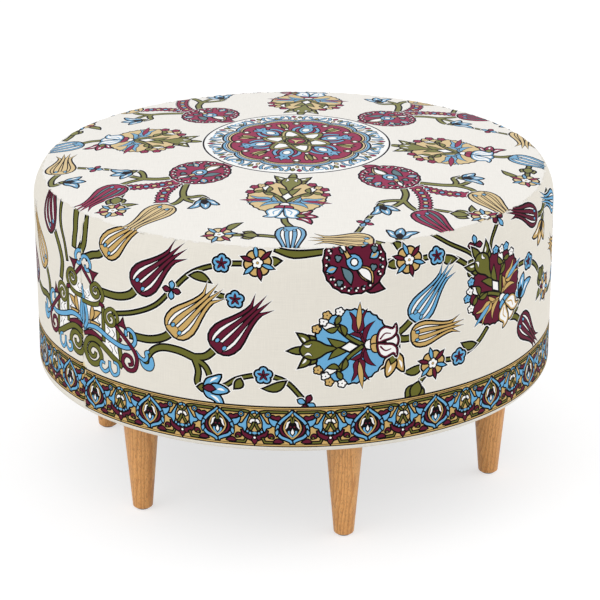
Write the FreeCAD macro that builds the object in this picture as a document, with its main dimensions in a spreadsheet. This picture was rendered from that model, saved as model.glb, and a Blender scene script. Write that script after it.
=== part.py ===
import FreeCAD, Part
import math
import os
import re
import Sketcher

# Round upholstered pouf: a plywood drum on six screwed-in legs, padded and covered in sewn fabric.
# Millimetres and degrees; +Z is up, the floor is Z = 0 and the drum's axis is the Z axis.

doc = FreeCAD.newDocument("Pouf")
sheet = doc.addObject("Spreadsheet::Sheet", "Sheet")

dimensions = [
    ("body_dia", 600, "drum over the fabric"),
    ("seam_inset", 10.5, "seam of top panel and side band, inside the drum's edge"),
    ("base_height", 130, "floor to the underside of the base board"),
    ("crown", 15, "rise of the top panel above its seam"),
    ("seat_edge", 40.5, "top board to the seam"),
    ("shoulder_height", 30, "height over which the side curves in to the seam"),
    ("bottom_round", 8, "outside radius of the lower edge"),
    ("hem_width", 30, "flat width of the hem under the base"),
    ("fabric", 1.2, "thickness of the cover fabric"),
    ("layer_gap", 0.3, "clearance between wrapped layers"),
    ("seam_gap", 0.3, "clearance between the sewn edges"),
    ("wadding", 4, "thickness of the seat wadding"),
    ("side_foam_thick", 10, "sheet foam round the drum"),
    ("foam_lip", 3, "least thickness of the sheet foam at its upper edge"),
    ("foam_drop", 8, "upper edge of the sheet foam below the seam"),
    ("wrap_thick", 3, "bent board round the drum"),
    ("base_thick", 18, "base board"),
    ("top_thick", 12, "top board"),
    ("post_length", 160, "between the two boards"),
    ("post_width", 30, "across the radius"),
    ("post_depth", 45, "along the radius"),
    ("post_inset", 0.3, "post corners inside the boards' edge"),
    ("leg_count", 6, "legs, and posts between them"),
    ("leg_bearing", -76.4, "first leg, from +X"),
    ("leg_inset", 1.5, "leg's top edge inside the hem's edge"),
    ("leg_top_dia", 44, "turned leg at the base"),
    ("leg_foot_dia", 23, "turned leg at the foot"),
    ("foot_round", 2.5, "radius round the foot"),
    ("leg_chamfer", 1, "at the leg's top edge"),
    ("glide_dia", 16, "nail-on glide"),
    ("glide_thick", 2, "glide's head"),
    ("glide_round", 1.2, "radius round the glide's head"),
    ("nail_dia", 2.5, "glide's nail"),
    ("nail_length", 12, "glide's nail in the foot"),
    ("bolt_dia", 8, "hanger bolt"),
    ("bolt_in_leg", 40, "depth of the hanger bolt in the leg"),
    ("bolt_tip", 4, "pointed end of the hanger bolt"),
    ("bolt_proud", 3, "hanger bolt above the flanged nut"),
    ("fastener_fit", 0.1, "radial clearance of bolts, nuts, nails and screws"),
    ("nut_flange_dia", 22, "flanged nut"),
    ("nut_flange_thick", 1.5, "flanged nut"),
    ("nut_barrel_dia", 10.5, "flanged nut"),
    ("nut_setback", 7, "end of the nut's barrel above the board's underside"),
    ("screw_dia", 4.5, "post screws"),
    ("screw_length", 60, "post screws"),
    ("screw_tip", 5, "pointed end of the post screws"),
    ("screw_head_dia", 9, "post screws"),
    ("screw_head_thick", 3, "post screws"),
    ("screw_spacing", 22, "between the two screws at a post's end"),
    ("dust_cover_inset", 14, "cloth's edge inside the drum's edge"),
    ("dust_cover_thick", 0.8, "cloth under the base"),
    ("staple_count", 18, "staples in each ring"),
    ("staple_crown", 10, "width of a staple"),
    ("staple_wire", 0.6, "thickness of the wire"),
    ("staple_wire_width", 1.2, "width of the wire"),
    ("staple_leg", 8, "length of a staple's legs"),
    ("staple_fit", 0.05, "clearance round a staple's legs"),
    ("staple_edge", 5, "staples inside the dust cover's edge"),
    ("seam_bearing", -141, "first vertical seam of the side band, from +X"),
    ("wrap_joint", 0.5, "open butt joint of the bent board"),
]
aliases = {alias for alias, value, note in dimensions}
for row, (alias, value, note) in enumerate(dimensions, 1):
    sheet.set(f"A{row}", alias)
    sheet.set(f"B{row}", str(value))
    sheet.setAlias(f"B{row}", alias)
    sheet.set(f"C{row}", note)
doc.recompute()

# Formulas on the driving dimensions

drum_r = "(body_dia / 2)"
seam_r = f"({drum_r} - seam_inset)"
foam_out_r = f"({drum_r} - fabric - layer_gap)"
foam_in_r = f"({foam_out_r} - side_foam_thick)"
wrap_out_r = f"({foam_in_r} - layer_gap)"
wrap_in_r = f"({wrap_out_r} - wrap_thick)"
board_r = f"({wrap_in_r} - layer_gap)"

base_top = "(base_height + base_thick)"
top_board_z = f"({base_top} + post_length)"
seat_z = f"({top_board_z} + top_thick)"
seam_z = f"({seat_z} + seat_edge)"
crown_z = f"({seam_z} + crown)"
wall_top_z = f"({seam_z} - shoulder_height)"
hem_z = "(base_height - fabric)"

# the side's upper curve: an arc that leaves the wall upright and ends at the seam
shoulder_r = "((seam_inset^2 + shoulder_height^2) / (2 * seam_inset))"
shoulder_x = f"({drum_r} - {shoulder_r})"

# the top's crown: one arc about the axis, from the seam over the middle
crown_r = f"(({seam_r}^2 + crown^2) / (2 * crown))"
crown_centre_z = f"({crown_z} - {crown_r})"

# the mitre where the two fabrics meet: the sum of both inward normals at the seam
side_nx = f"(({shoulder_r} - seam_inset) / {shoulder_r})"
side_nz = f"(shoulder_height / {shoulder_r})"
top_nx = f"({seam_r} / {crown_r})"
top_nz = f"(({crown_r} - crown) / {crown_r})"
mitre = f"(fabric / (1 + {side_nx} * {top_nx} + {side_nz} * {top_nz}))"
seam_in_r = f"({seam_r} - {mitre} * ({side_nx} + {top_nx}))"
seam_in_z = f"({seam_z} - {mitre} * ({side_nz} + {top_nz}))"

hem_in_r = f"({drum_r} - bottom_round - hem_width)"
leg_circle_r = f"({hem_in_r} - leg_inset - leg_top_dia / 2)"
leg_top_z = "(base_height - dust_cover_thick)"
leg_length = f"({leg_top_z} - glide_thick)"
post_bearing = "(leg_bearing + 180 / leg_count)"
post_face_r = f"(sqrt(({board_r} - post_inset)^2 - (post_width / 2)^2))"
post_mid_r = f"({post_face_r} - post_depth / 2)"
screw_rs = [f"({post_mid_r} - screw_spacing / 2)", f"({post_mid_r} + screw_spacing / 2)"]
bolt_hole_r = "(bolt_dia / 2 + fastener_fit)"
dust_cover_r = f"({drum_r} - dust_cover_inset)"
staple_r = f"({dust_cover_r} - staple_edge)"
hem_staple_start = "(90 / staple_count)"
dust_staple_start = "(270 / staple_count)"


def val(formula):
    return float(sheet.evalExpression(formula))


def bind(item, prop, formula):
    named = re.sub(r"[a-z]\w*", lambda w: "Sheet." + w.group() if w.group() in aliases else w.group(), formula)
    item.setExpression(prop, named)


# Sketches and features

def new_body(label):
    body = doc.addObject("PartDesign::Body", label)
    body.Label = label
    return body


def origin_of(body, role):
    return [item for item in body.Origin.OriginFeatures if item.Role == role][0]


def new_sketch(body, name, role, lift="0"):
    sketch = body.newObject("Sketcher::SketchObject", name)
    sketch.AttachmentSupport = [(origin_of(body, role), "")]
    sketch.MapMode = "FlatFace"
    if lift != "0":
        bind(sketch, "AttachmentOffset.Base.z", lift)
    return sketch


def held(sketch, constraint, formula):
    index = sketch.addConstraint(constraint)
    bind(sketch, f"Constraints[{index}]", formula)


def pin_point(sketch, edge, end, x, y):
    # holds a point at x, y; a point on an axis is tied to that axis
    for kind, formula, axis in (("DistanceX", x, -2), ("DistanceY", y, -1)):
        if formula == "0":
            sketch.addConstraint(Sketcher.Constraint("PointOnObject", edge, end, axis))
        else:
            held(sketch, Sketcher.Constraint(kind, -1, 1, edge, end, val(formula)), formula)


def arc_between(here, there, radius, turn):
    # turn 1 bends to the left of the way from here to there, -1 to the right
    way = there - here
    side = FreeCAD.Vector(-way.y, way.x, 0).normalize()
    reach = math.sqrt(max(radius ** 2 - (way.Length / 2) ** 2, 0))
    centre = here + way * 0.5 + side * (turn * reach)
    angles = [math.atan2(p.y - centre.y, p.x - centre.x) for p in (here, there)]
    first = 1 if turn > 0 else 2
    if turn < 0:
        angles.reverse()
    whole = Part.Circle(centre, FreeCAD.Vector(0, 0, 1), radius)
    return Part.ArcOfCircle(whole, angles[0], angles[1]), first


def outline(sketch, start, *steps):
    # a closed outline: each step is a point (x, y), or (x, y, radius, turn) for an arc to that point
    corners = [start] + [step[:2] for step in steps]
    spots = [FreeCAD.Vector(val(x), val(y), 0) for x, y in corners]
    base = sketch.GeometryCount
    count = len(corners)
    firsts = []
    for i, step in enumerate(list(steps) + [start]):
        here, there = spots[i], spots[(i + 1) % count]
        if len(step) == 4:
            edge, first = arc_between(here, there, val(step[2]), step[3])
        else:
            edge, first = Part.LineSegment(here, there), 1
        sketch.addGeometry(edge)
        firsts.append(first)
    for i in range(count):
        after = (i + 1) % count
        last = 3 - firsts[i]
        sketch.addConstraint(Sketcher.Constraint("Coincident", base + i, last, base + after, firsts[after]))
    for i, (x, y) in enumerate(corners):
        pin_point(sketch, base + i, firsts[i], x, y)
    for i, step in enumerate(steps):
        if len(step) == 4:
            held(sketch, Sketcher.Constraint("Radius", base + i, val(step[2])), step[2])


def circle(sketch, x, y, radius):
    spot = FreeCAD.Vector(val(x), val(y), 0)
    edge = sketch.addGeometry(Part.Circle(spot, FreeCAD.Vector(0, 0, 1), val(radius)))
    if x == y == "0":
        sketch.addConstraint(Sketcher.Constraint("Coincident", edge, 3, -1, 1))
    else:
        pin_point(sketch, edge, 3, x, y)
    held(sketch, Sketcher.Constraint("Radius", edge, val(radius)), radius)


def turn(body, name, sketch, axis="V_Axis", sweep="360"):
    feature = body.newObject("PartDesign::Revolution", name)
    feature.Profile = sketch
    feature.ReferenceAxis = (sketch, [axis])
    bind(feature, "Angle", sweep)
    return feature


def pad(body, name, sketch, length, midplane=False):
    feature = body.newObject("PartDesign::Pad", name)
    feature.Profile = sketch
    bind(feature, "Length", length)
    if midplane:
        feature.SideType = "Symmetric"
    return feature


def pocket(body, name, sketch, depth, up=True):
    # depth "through" cuts through the whole piece
    doc.recompute()
    before = body.Shape.Volume
    feature = body.newObject("PartDesign::Pocket", name)
    feature.Profile = sketch
    feature.Reversed = up
    if depth == "through":
        feature.Type = "ThroughAll"
    else:
        bind(feature, "Length", depth)
    doc.recompute()
    if body.Shape.Volume >= before:
        raise RuntimeError(f"{body.Label}: {name} cuts nothing")
    return feature


def ring(body, name, features, count):
    pattern = body.newObject("PartDesign::PolarPattern", name)
    pattern.Originals = features
    pattern.Axis = (origin_of(body, "Z_Axis"), [""])
    pattern.Angle = 360
    bind(pattern, "Occurrences", count)
    body.Tip = pattern
    return pattern


def place(body, z="0", bearing="0", x="0", y="0"):
    body.Placement.Rotation = FreeCAD.Rotation(FreeCAD.Vector(0, 0, 1), val(bearing))
    body.Placement.Base = FreeCAD.Vector(val(x), val(y), val(z))
    for prop, formula in (("Base.x", x), ("Base.y", y), ("Base.z", z), ("Rotation.Angle", bearing)):
        if formula != "0":
            bind(body, "Placement." + prop, formula)


def polar(radius, bearing):
    return f"({radius} * cos({bearing}))", f"({radius} * sin({bearing}))"


def holes(body, name, spots, radius, depth, count, lift="0", up=True):
    # round holes at the spots, repeated round the axis
    sketch = new_sketch(body, name + "_sketch", "XY_Plane", lift)
    for x, y in spots:
        circle(sketch, x, y, radius)
    return ring(body, name + "_ring", [pocket(body, name, sketch, depth, up)], count)


def staple_slots(body, name, bearing, depth):
    # a pair of slots for a staple's legs, square to the radius, repeated round the axis
    sketch = new_sketch(body, name + "_sketch", "XY_Plane")
    half_wire = "(staple_wire_width / 2 + staple_fit)"
    outer = "(staple_crown / 2 + staple_fit)"
    inner = "(staple_crown / 2 - staple_wire - staple_fit)"

    def spot(along, across):
        return (f"(({staple_r} + {along}) * cos({bearing}) - {across} * sin({bearing}))",
                f"(({staple_r} + {along}) * sin({bearing}) + {across} * cos({bearing}))")

    for near, far in ((inner, outer), (f"(-{outer})", f"(-{inner})")):
        outline(sketch, spot(f"(-{half_wire})", near), spot(half_wire, near),
                spot(half_wire, far), spot(f"(-{half_wire})", far))
    return ring(body, name + "_ring", [pocket(body, name, sketch, depth)], "staple_count")


# Frame: two boards, the posts between them and the bent board round them

def base_board():
    body = new_body("base_board")
    disc = new_sketch(body, "base_disc", "XY_Plane")
    circle(disc, "0", "0", board_r)
    pad(body, "base_pad", disc, "base_thick")
    barrel_hole = "(nut_barrel_dia / 2 + fastener_fit)"
    holes(body, "nut_holes", [polar(leg_circle_r, "leg_bearing")], barrel_hole, "through", "leg_count")
    screw_spots = [polar(r, post_bearing) for r in screw_rs]
    holes(body, "base_screw_holes", screw_spots, "(screw_dia / 2 + fastener_fit)", "through", "leg_count")
    head_hole = "(screw_head_dia / 2 + fastener_fit)"
    holes(body, "base_screw_heads", screw_spots, head_hole, "screw_head_thick", "leg_count")
    slot_depth = "(staple_leg - fabric + staple_fit)"
    staple_slots(body, "hem_slots", f"(seam_bearing + {hem_staple_start})", slot_depth)
    staple_slots(body, "dust_cover_slots", f"(seam_bearing + {dust_staple_start})", slot_depth)
    place(body, "base_height")
    return body


def top_board():
    body = new_body("top_board")
    disc = new_sketch(body, "top_disc", "XY_Plane")
    circle(disc, "0", "0", board_r)
    pad(body, "top_pad", disc, "top_thick")
    screw_spots = [polar(r, post_bearing) for r in screw_rs]
    holes(body, "top_screw_holes", screw_spots, "(screw_dia / 2 + fastener_fit)", "through", "leg_count")
    head_hole = "(screw_head_dia / 2 + fastener_fit)"
    holes(body, "top_screw_heads", screw_spots, head_hole, "screw_head_thick", "leg_count", "top_thick", False)
    place(body, top_board_z)
    return body


def post(number):
    body = new_body(f"post_{number}")
    section = new_sketch(body, f"post_{number}_section", "XY_Plane")
    back = f"({post_face_r} - post_depth)"
    half = "(post_width / 2)"
    outline(section, (back, f"(-{half})"), (post_face_r, f"(-{half})"), (post_face_r, half), (back, half))
    pad(body, f"post_{number}_pad", section, "post_length")
    for end, board, lift, up in (("base", "base_thick", "0", True), ("top", "top_thick", "post_length", False)):
        sketch = new_sketch(body, f"post_{number}_{end}_pilots", "XY_Plane", lift)
        for r in screw_rs:
            circle(sketch, r, "0", "(screw_dia / 2 + fastener_fit)")
        pocket(body, f"post_{number}_{end}_holes", sketch, f"(screw_length - {board} + fastener_fit)", up)
    place(body, base_top, f"({post_bearing} + {number - 1} * 360 / leg_count)")
    return body


def post_screws(label, head_z, way):
    # two cheese-headed wood screws at each post; way 1 points up, -1 down
    body = new_body(label)
    turned = []
    for side, r in zip(("inner", "outer"), screw_rs):
        sketch = new_sketch(body, f"{label}_{side}_sketch", "XZ_Plane")
        spot = FreeCAD.Vector(val(r), 0, 0)
        axis = sketch.addGeometry(Part.LineSegment(spot, spot + FreeCAD.Vector(0, 1, 0)), True)
        for end in (1, 2):
            held(sketch, Sketcher.Constraint("DistanceX", -1, 1, axis, end, val(r)), r)

        def at(radius, along):
            return f"({r} + {radius})", f"({head_z} + {way} * {along})"

        tip = "(screw_length - screw_tip)"
        outline(sketch, at("0", "0"), at("screw_head_dia / 2", "0"), at("screw_head_dia / 2", "screw_head_thick"),
                at("screw_dia / 2", "screw_head_thick"), at("screw_dia / 2", tip), at("0", "screw_length"))
        turned.append(turn(body, f"{label}_{side}", sketch, "Axis0"))
    ring(body, f"{label}_ring", turned, "leg_count")
    place(body, "0", post_bearing)
    return body


def side_wrap():
    body = new_body("side_wrap")
    section = new_sketch(body, "wrap_section", "XZ_Plane")
    outline(section, (wrap_in_r, "base_height"), (wrap_out_r, "base_height"),
            (wrap_out_r, seat_z), (wrap_in_r, seat_z))
    turn(body, "wrap_turn", section, sweep=f"(360 - wrap_joint / {wrap_out_r} * 180 / pi)")
    place(body, "0", post_bearing)
    return body


# Padding

def side_foam():
    body = new_body("side_foam")
    section = new_sketch(body, "side_foam_section", "XZ_Plane")
    edge_r = "(bottom_round - fabric - layer_gap)"
    curve_r = f"({shoulder_r} - fabric - layer_gap)"
    full_rise = f"(sqrt({curve_r}^2 - ({foam_in_r} + foam_lip - {shoulder_x})^2))"
    rise = f"(min({full_rise}; shoulder_height - foam_drop))"
    lip_r = f"({shoulder_x} + sqrt({curve_r}^2 - {rise}^2))"
    bottom = "(base_height + layer_gap)"
    outline(section,
            (foam_in_r, bottom), (f"({foam_out_r} - {edge_r})", bottom),
            (foam_out_r, f"({bottom} + {edge_r})", edge_r, 1), (foam_out_r, wall_top_z),
            (lip_r, f"({wall_top_z} + {rise})", curve_r, 1), (foam_in_r, f"({wall_top_z} + {rise})"))
    turn(body, "side_foam_turn", section)
    return body


def crowned_layer(label, depth, edge, floor=None, thickness=None):
    # a layer under the crown, depth below the outside; flat below at floor, or of even thickness
    body = new_body(label)
    section = new_sketch(body, label + "_section", "XZ_Plane")
    over_r = f"({crown_r} - {depth})"
    over_edge = f"({crown_centre_z} + sqrt({over_r}^2 - {edge}^2))"
    over = [(edge, over_edge), ("0", f"({crown_z} - {depth})", over_r, 1)]
    if floor:
        outline(section, ("0", floor), (edge, floor), *over)
    else:
        under_r = f"({over_r} - {thickness})"
        under_edge = f"({crown_centre_z} + sqrt({under_r}^2 - {edge}^2))"
        under = (edge, under_edge, under_r, -1)
        outline(section, ("0", f"({crown_centre_z} + {under_r})"), under, *over)
    turn(body, label + "_turn", section)
    return body


def seat_wadding():
    edge = f"(min({wrap_out_r}; {seam_r} - 2 * fabric))"
    return crowned_layer("seat_wadding", "(fabric + layer_gap)", edge, thickness="wadding")


def seat_foam():
    edge = f"(min({wrap_out_r}; {seam_r} - wadding))"
    return crowned_layer("seat_foam", "(fabric + wadding + 2 * layer_gap)", edge, floor=seat_z)


# Sewn cover: the crowned top panel and the two halves of the side band, mitred at the seam

def top_cover():
    body = new_body("top_cover")
    section = new_sketch(body, "top_cover_section", "XZ_Plane")
    edge = f"({seam_r} - seam_gap)"
    edge_z = f"({crown_centre_z} + sqrt({crown_r}^2 - {edge}^2))"
    under_r = f"({crown_r} - fabric)"
    under = f"({seam_in_r} - seam_gap)"
    under_z = f"({crown_centre_z} + sqrt({under_r}^2 - {under}^2))"
    outline(section,
            ("0", f"({crown_z} - fabric)"), (under, under_z, under_r, -1),
            (edge, edge_z), ("0", crown_z, crown_r, 1))
    turn(body, "top_cover_turn", section)
    return body


def side_cover(label, bearing):
    body = new_body(label)
    section = new_sketch(body, label + "_section", "XZ_Plane")
    round_z = f"({hem_z} + bottom_round)"
    outline(section,
            (hem_in_r, hem_z), (f"({drum_r} - bottom_round)", hem_z),
            (drum_r, round_z, "bottom_round", 1), (drum_r, wall_top_z),
            (seam_r, seam_z, shoulder_r, 1), (seam_in_r, seam_in_z),
            (f"({drum_r} - fabric)", wall_top_z, f"({shoulder_r} - fabric)", -1),
            (f"({drum_r} - fabric)", round_z),
            (f"({drum_r} - bottom_round)", "base_height", "(bottom_round - fabric)", -1),
            (hem_in_r, "base_height"))
    turn(body, label + "_turn", section, sweep=f"(180 - seam_gap / {drum_r} * 180 / pi)")
    staple_slots(body, label + "_hem_slots", hem_staple_start, "base_height")
    staple_slots(body, label + "_dust_slots", dust_staple_start, "base_height")
    place(body, "0", bearing)
    return body


# Underside: the dust cover and the staples

def dust_cover():
    body = new_body("dust_cover")
    section = new_sketch(body, "dust_cover_section", "XZ_Plane")
    step_in = f"({hem_in_r} - leg_inset)"
    step_out = f"({hem_in_r} - layer_gap)"
    low = f"({hem_z} - staple_wire)"
    outline(section,
            ("0", "base_height"), ("0", leg_top_z), (step_in, leg_top_z),
            (step_out, f"({low} - dust_cover_thick)"), (dust_cover_r, f"({low} - dust_cover_thick)"),
            (dust_cover_r, low), (step_out, low), (step_in, "base_height"))
    turn(body, "dust_cover_turn", section)
    holes(body, "bolt_holes", [polar(leg_circle_r, "leg_bearing")], bolt_hole_r, "through", "leg_count")
    staple_slots(body, "dust_slots", f"(seam_bearing + {dust_staple_start})", "base_height")
    return body


def staples(label, bearing, crown_top):
    # U-shaped staples driven upwards, crown square to the radius; crown_top is the face they hold
    body = new_body(label)
    sketch = new_sketch(body, label + "_sketch", "YZ_Plane", staple_r)
    half = "(staple_crown / 2)"
    inner = "(staple_crown / 2 - staple_wire)"
    low = f"({crown_top} - staple_wire)"
    high = f"({low} + staple_leg)"
    outline(sketch, (f"(-{half})", low), (half, low), (half, high), (inner, high), (inner, crown_top),
            (f"(-{inner})", crown_top), (f"(-{inner})", high), (f"(-{half})", high))
    one = pad(body, label + "_pad", sketch, "staple_wire_width", midplane=True)
    ring(body, label + "_ring", [one], "staple_count")
    place(body, "0", bearing)
    return body


# Legs and what holds them

def leg(number):
    body = new_body(f"leg_{number}")
    section = new_sketch(body, f"leg_{number}_section", "XZ_Plane")
    foot = "(leg_foot_dia / 2)"
    top = "(leg_top_dia / 2)"
    nail_r = "(nail_dia / 2 + fastener_fit)"
    bolt_end = f"({leg_length} - bolt_in_leg)"
    outline(section,
            ("0", "nail_length"), (nail_r, "nail_length"), (nail_r, "0"), (f"({foot} - foot_round)", "0"),
            (foot, "foot_round", "foot_round", 1), (top, f"({leg_length} - leg_chamfer)"),
            (f"({top} - leg_chamfer)", leg_length), (bolt_hole_r, leg_length),
            (bolt_hole_r, bolt_end), ("0", f"({bolt_end} - bolt_tip)"))
    turn(body, f"leg_{number}_turn", section)
    x, y = polar(leg_circle_r, f"(leg_bearing + {number - 1} * 360 / leg_count)")
    place(body, "glide_thick", "0", x, y)
    return body


def leg_hardware(label, *profile):
    # a turned piece on each leg's axis: profile points are (radius, height), or arcs as in an outline
    body = new_body(label)
    sketch = new_sketch(body, label + "_sketch", "XZ_Plane")
    spot = FreeCAD.Vector(val(leg_circle_r), 0, 0)
    axis = sketch.addGeometry(Part.LineSegment(spot, spot + FreeCAD.Vector(0, 1, 0)), True)
    for end in (1, 2):
        held(sketch, Sketcher.Constraint("DistanceX", -1, 1, axis, end, val(leg_circle_r)), leg_circle_r)
    outline(sketch, *[(f"({leg_circle_r} + {step[0]})",) + step[1:] for step in profile])
    ring(body, label + "_ring", [turn(body, label + "_turn", sketch, "Axis0")], "leg_count")
    place(body, "0", "leg_bearing")
    return body


def leg_bolts():
    end = f"({leg_top_z} - bolt_in_leg)"
    high = f"({base_top} + nut_flange_thick + bolt_proud)"
    return leg_hardware("leg_bolts", ("0", f"({end} - bolt_tip + fastener_fit)"), ("bolt_dia / 2", end),
                        ("bolt_dia / 2", high), ("0", high))


def t_nuts():
    high = f"({base_top} + nut_flange_thick)"
    low = "(base_height + nut_setback)"
    return leg_hardware("t_nuts", (bolt_hole_r, low), ("nut_barrel_dia / 2", low),
                        ("nut_barrel_dia / 2", base_top), ("nut_flange_dia / 2", base_top),
                        ("nut_flange_dia / 2", high), (bolt_hole_r, high))


def leg_glides():
    edge = "glide_dia / 2"
    nail_end = "(glide_thick + nail_length - fastener_fit)"
    return leg_hardware("leg_glides", ("0", "0"), (f"({edge} - glide_round)", "0"),
                        (edge, "glide_round", "glide_round", 1), (edge, "glide_thick"),
                        ("nail_dia / 2", "glide_thick"), ("nail_dia / 2", f"({nail_end} - nail_dia)"),
                        ("0", nail_end))


leg_numbers = range(1, int(val("leg_count")) + 1)
pieces = [base_board(), top_board(), side_wrap(), side_foam(), seat_foam(), seat_wadding(), top_cover()]
pieces += [side_cover("side_cover_front", "seam_bearing"), side_cover("side_cover_back", "(seam_bearing + 180)")]
pieces += [post(number) for number in leg_numbers]
pieces += [post_screws("base_screws", "base_height", 1), post_screws("top_screws", seat_z, -1)]
pieces += [leg(number) for number in leg_numbers]
pieces += [leg_bolts(), t_nuts(), leg_glides(), dust_cover()]
pieces += [staples("hem_staples", f"(seam_bearing + {hem_staple_start})", hem_z),
           staples("dust_cover_staples", f"(seam_bearing + {dust_staple_start})",
                   f"({hem_z} - staple_wire - dust_cover_thick)")]
doc.recompute()

for item in doc.Objects:
    if {"Invalid", "Error"} & set(item.State):
        raise RuntimeError(f"{item.Label} failed: {item.State}")
for piece in pieces:
    if piece.Shape.isNull() or not piece.Shape.isValid() or not piece.Shape.Solids:
        raise RuntimeError(f"{piece.Label} has no valid solid")

os.makedirs("parts", exist_ok=True)
for piece in pieces:
    piece.Shape.exportStep(f"parts/{piece.Label}.step")
    print(piece.Label, len(piece.Shape.Solids), "solid(s)", round(piece.Shape.Volume / 1000, 1), "cm3")
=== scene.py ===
import math
import bmesh
import bpy
import numpy as np
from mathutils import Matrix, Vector
from mathutils.geometry import delaunay_2d_cdt


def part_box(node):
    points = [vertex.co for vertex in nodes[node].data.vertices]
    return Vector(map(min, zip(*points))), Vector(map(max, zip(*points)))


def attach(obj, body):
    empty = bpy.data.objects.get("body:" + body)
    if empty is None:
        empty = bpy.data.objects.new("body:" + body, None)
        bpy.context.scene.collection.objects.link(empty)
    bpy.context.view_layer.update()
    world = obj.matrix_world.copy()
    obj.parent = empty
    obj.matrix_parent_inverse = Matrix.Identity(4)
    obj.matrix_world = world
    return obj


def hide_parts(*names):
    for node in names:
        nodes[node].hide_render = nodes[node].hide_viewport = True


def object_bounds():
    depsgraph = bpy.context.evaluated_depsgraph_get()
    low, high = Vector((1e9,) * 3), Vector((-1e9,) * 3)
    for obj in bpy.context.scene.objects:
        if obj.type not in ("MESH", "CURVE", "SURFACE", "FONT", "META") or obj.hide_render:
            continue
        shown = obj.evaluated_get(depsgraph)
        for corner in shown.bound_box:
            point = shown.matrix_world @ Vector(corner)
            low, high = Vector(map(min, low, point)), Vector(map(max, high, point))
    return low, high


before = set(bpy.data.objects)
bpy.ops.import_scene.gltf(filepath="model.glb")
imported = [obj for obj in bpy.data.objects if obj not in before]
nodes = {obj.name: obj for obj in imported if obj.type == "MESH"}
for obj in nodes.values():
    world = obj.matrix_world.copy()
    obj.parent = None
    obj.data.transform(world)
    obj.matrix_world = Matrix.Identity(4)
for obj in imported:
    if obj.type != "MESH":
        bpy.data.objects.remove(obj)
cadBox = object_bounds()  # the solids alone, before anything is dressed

scene = bpy.context.scene
scene.view_settings.view_transform = "Standard"


def srgb(red, green, blue):  # a colour as the eye reads it, 0 to 255, made linear for the shader
    parts = [c / 255 for c in (red, green, blue)]
    return [c / 12.92 if c <= 0.04045 else ((c + 0.055) / 1.055) ** 2.4 for c in parts] + [1.0]


# shader nodes
def feed(tree, socket, value):  # a socket is linked, anything else is set on the input
    if isinstance(value, bpy.types.NodeSocket):
        tree.links.new(value, socket)
    else:
        socket.default_value = value


def addNode(tree, kind, values=(), **settings):  # values go to the inputs, by name or by place
    node = tree.nodes.new(kind)
    for name, value in settings.items():
        setattr(node, name, value)
    for key, value in (values.items() if isinstance(values, dict) else enumerate(values)):
        feed(tree, node.inputs[key], value)
    return node


def sums(tree, operation, *values):
    return addNode(tree, "ShaderNodeMath", values, operation=operation).outputs[0]


def remap(tree, value, before=(0.0, 1.0), after=(0.0, 1.0)):  # stretches a value from one range to another
    ends = {"From Min": before[0], "From Max": before[1], "To Min": after[0], "To Max": after[1]}
    return addNode(tree, "ShaderNodeMapRange", {"Value": value, **ends}).outputs[0]


def blended(tree, way, share, under, over):  # two colours mixed
    colours = {"Factor": share, 6: under, 7: over}
    return addNode(tree, "ShaderNodeMix", colours, data_type="RGBA", blend_type=way).outputs[2]


# camera and studio
view = {
    "elevation": 21.03, "distance": 3.027, "aimX": 0.00705, "aimZ": 0.1906,
    "lens": 154.1, "sensor": 36.0,
}
studio = {
    "floorSize": 14.0,
    "floorColour": (250, 250, 250),
    "floorGlow": 0.51, "glowStrength": 1.24,  # share of the floor that shows plain white, in shadow too
    "skyStrength": 0.92,
    "keyPlace": (-1.9, -1.7, 2.6), "keySize": 1.8, "keyPower": 14.0,
    "fillPlace": (2.8, 0.5, 1.3), "fillSize": 1.8, "fillPower": 9.0,
}


def aimAt(obj, target):
    obj.rotation_euler = (Vector(target) - obj.location).to_track_quat("-Z", "Y").to_euler()


def addCamera():
    data = bpy.data.cameras.new("photoCamera")
    data.sensor_width = view["sensor"]
    data.lens = view["lens"]
    data.clip_end = 50
    cam = bpy.data.objects.new("photoCamera", data)
    tilt = math.radians(view["elevation"])
    back = view["distance"] * math.cos(tilt)
    up = view["distance"] * math.sin(tilt)
    cam.location = (view["aimX"], -back, view["aimZ"] + up)
    cam.rotation_euler = (math.pi / 2 - tilt, 0, 0)
    scene.collection.objects.link(cam)
    scene.camera = cam


def addSoftbox(name, place, size, power):
    lamp = bpy.data.lights.new(name, "AREA")
    lamp.shape = "DISK"
    lamp.size = size
    lamp.energy = power
    obj = bpy.data.objects.new(name, lamp)
    obj.location = place
    aimAt(obj, (0, 0, 0.2))
    scene.collection.objects.link(obj)


def lookedAt(tree):  # 1 for what the camera, a mirror or glass sees straight away
    rays = addNode(tree, "ShaderNodeLightPath").outputs
    seen = sums(tree, "MAXIMUM", rays["Is Camera Ray"], rays["Is Glossy Ray"])
    return sums(tree, "MAXIMUM", seen, rays["Is Transmission Ray"])


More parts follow.
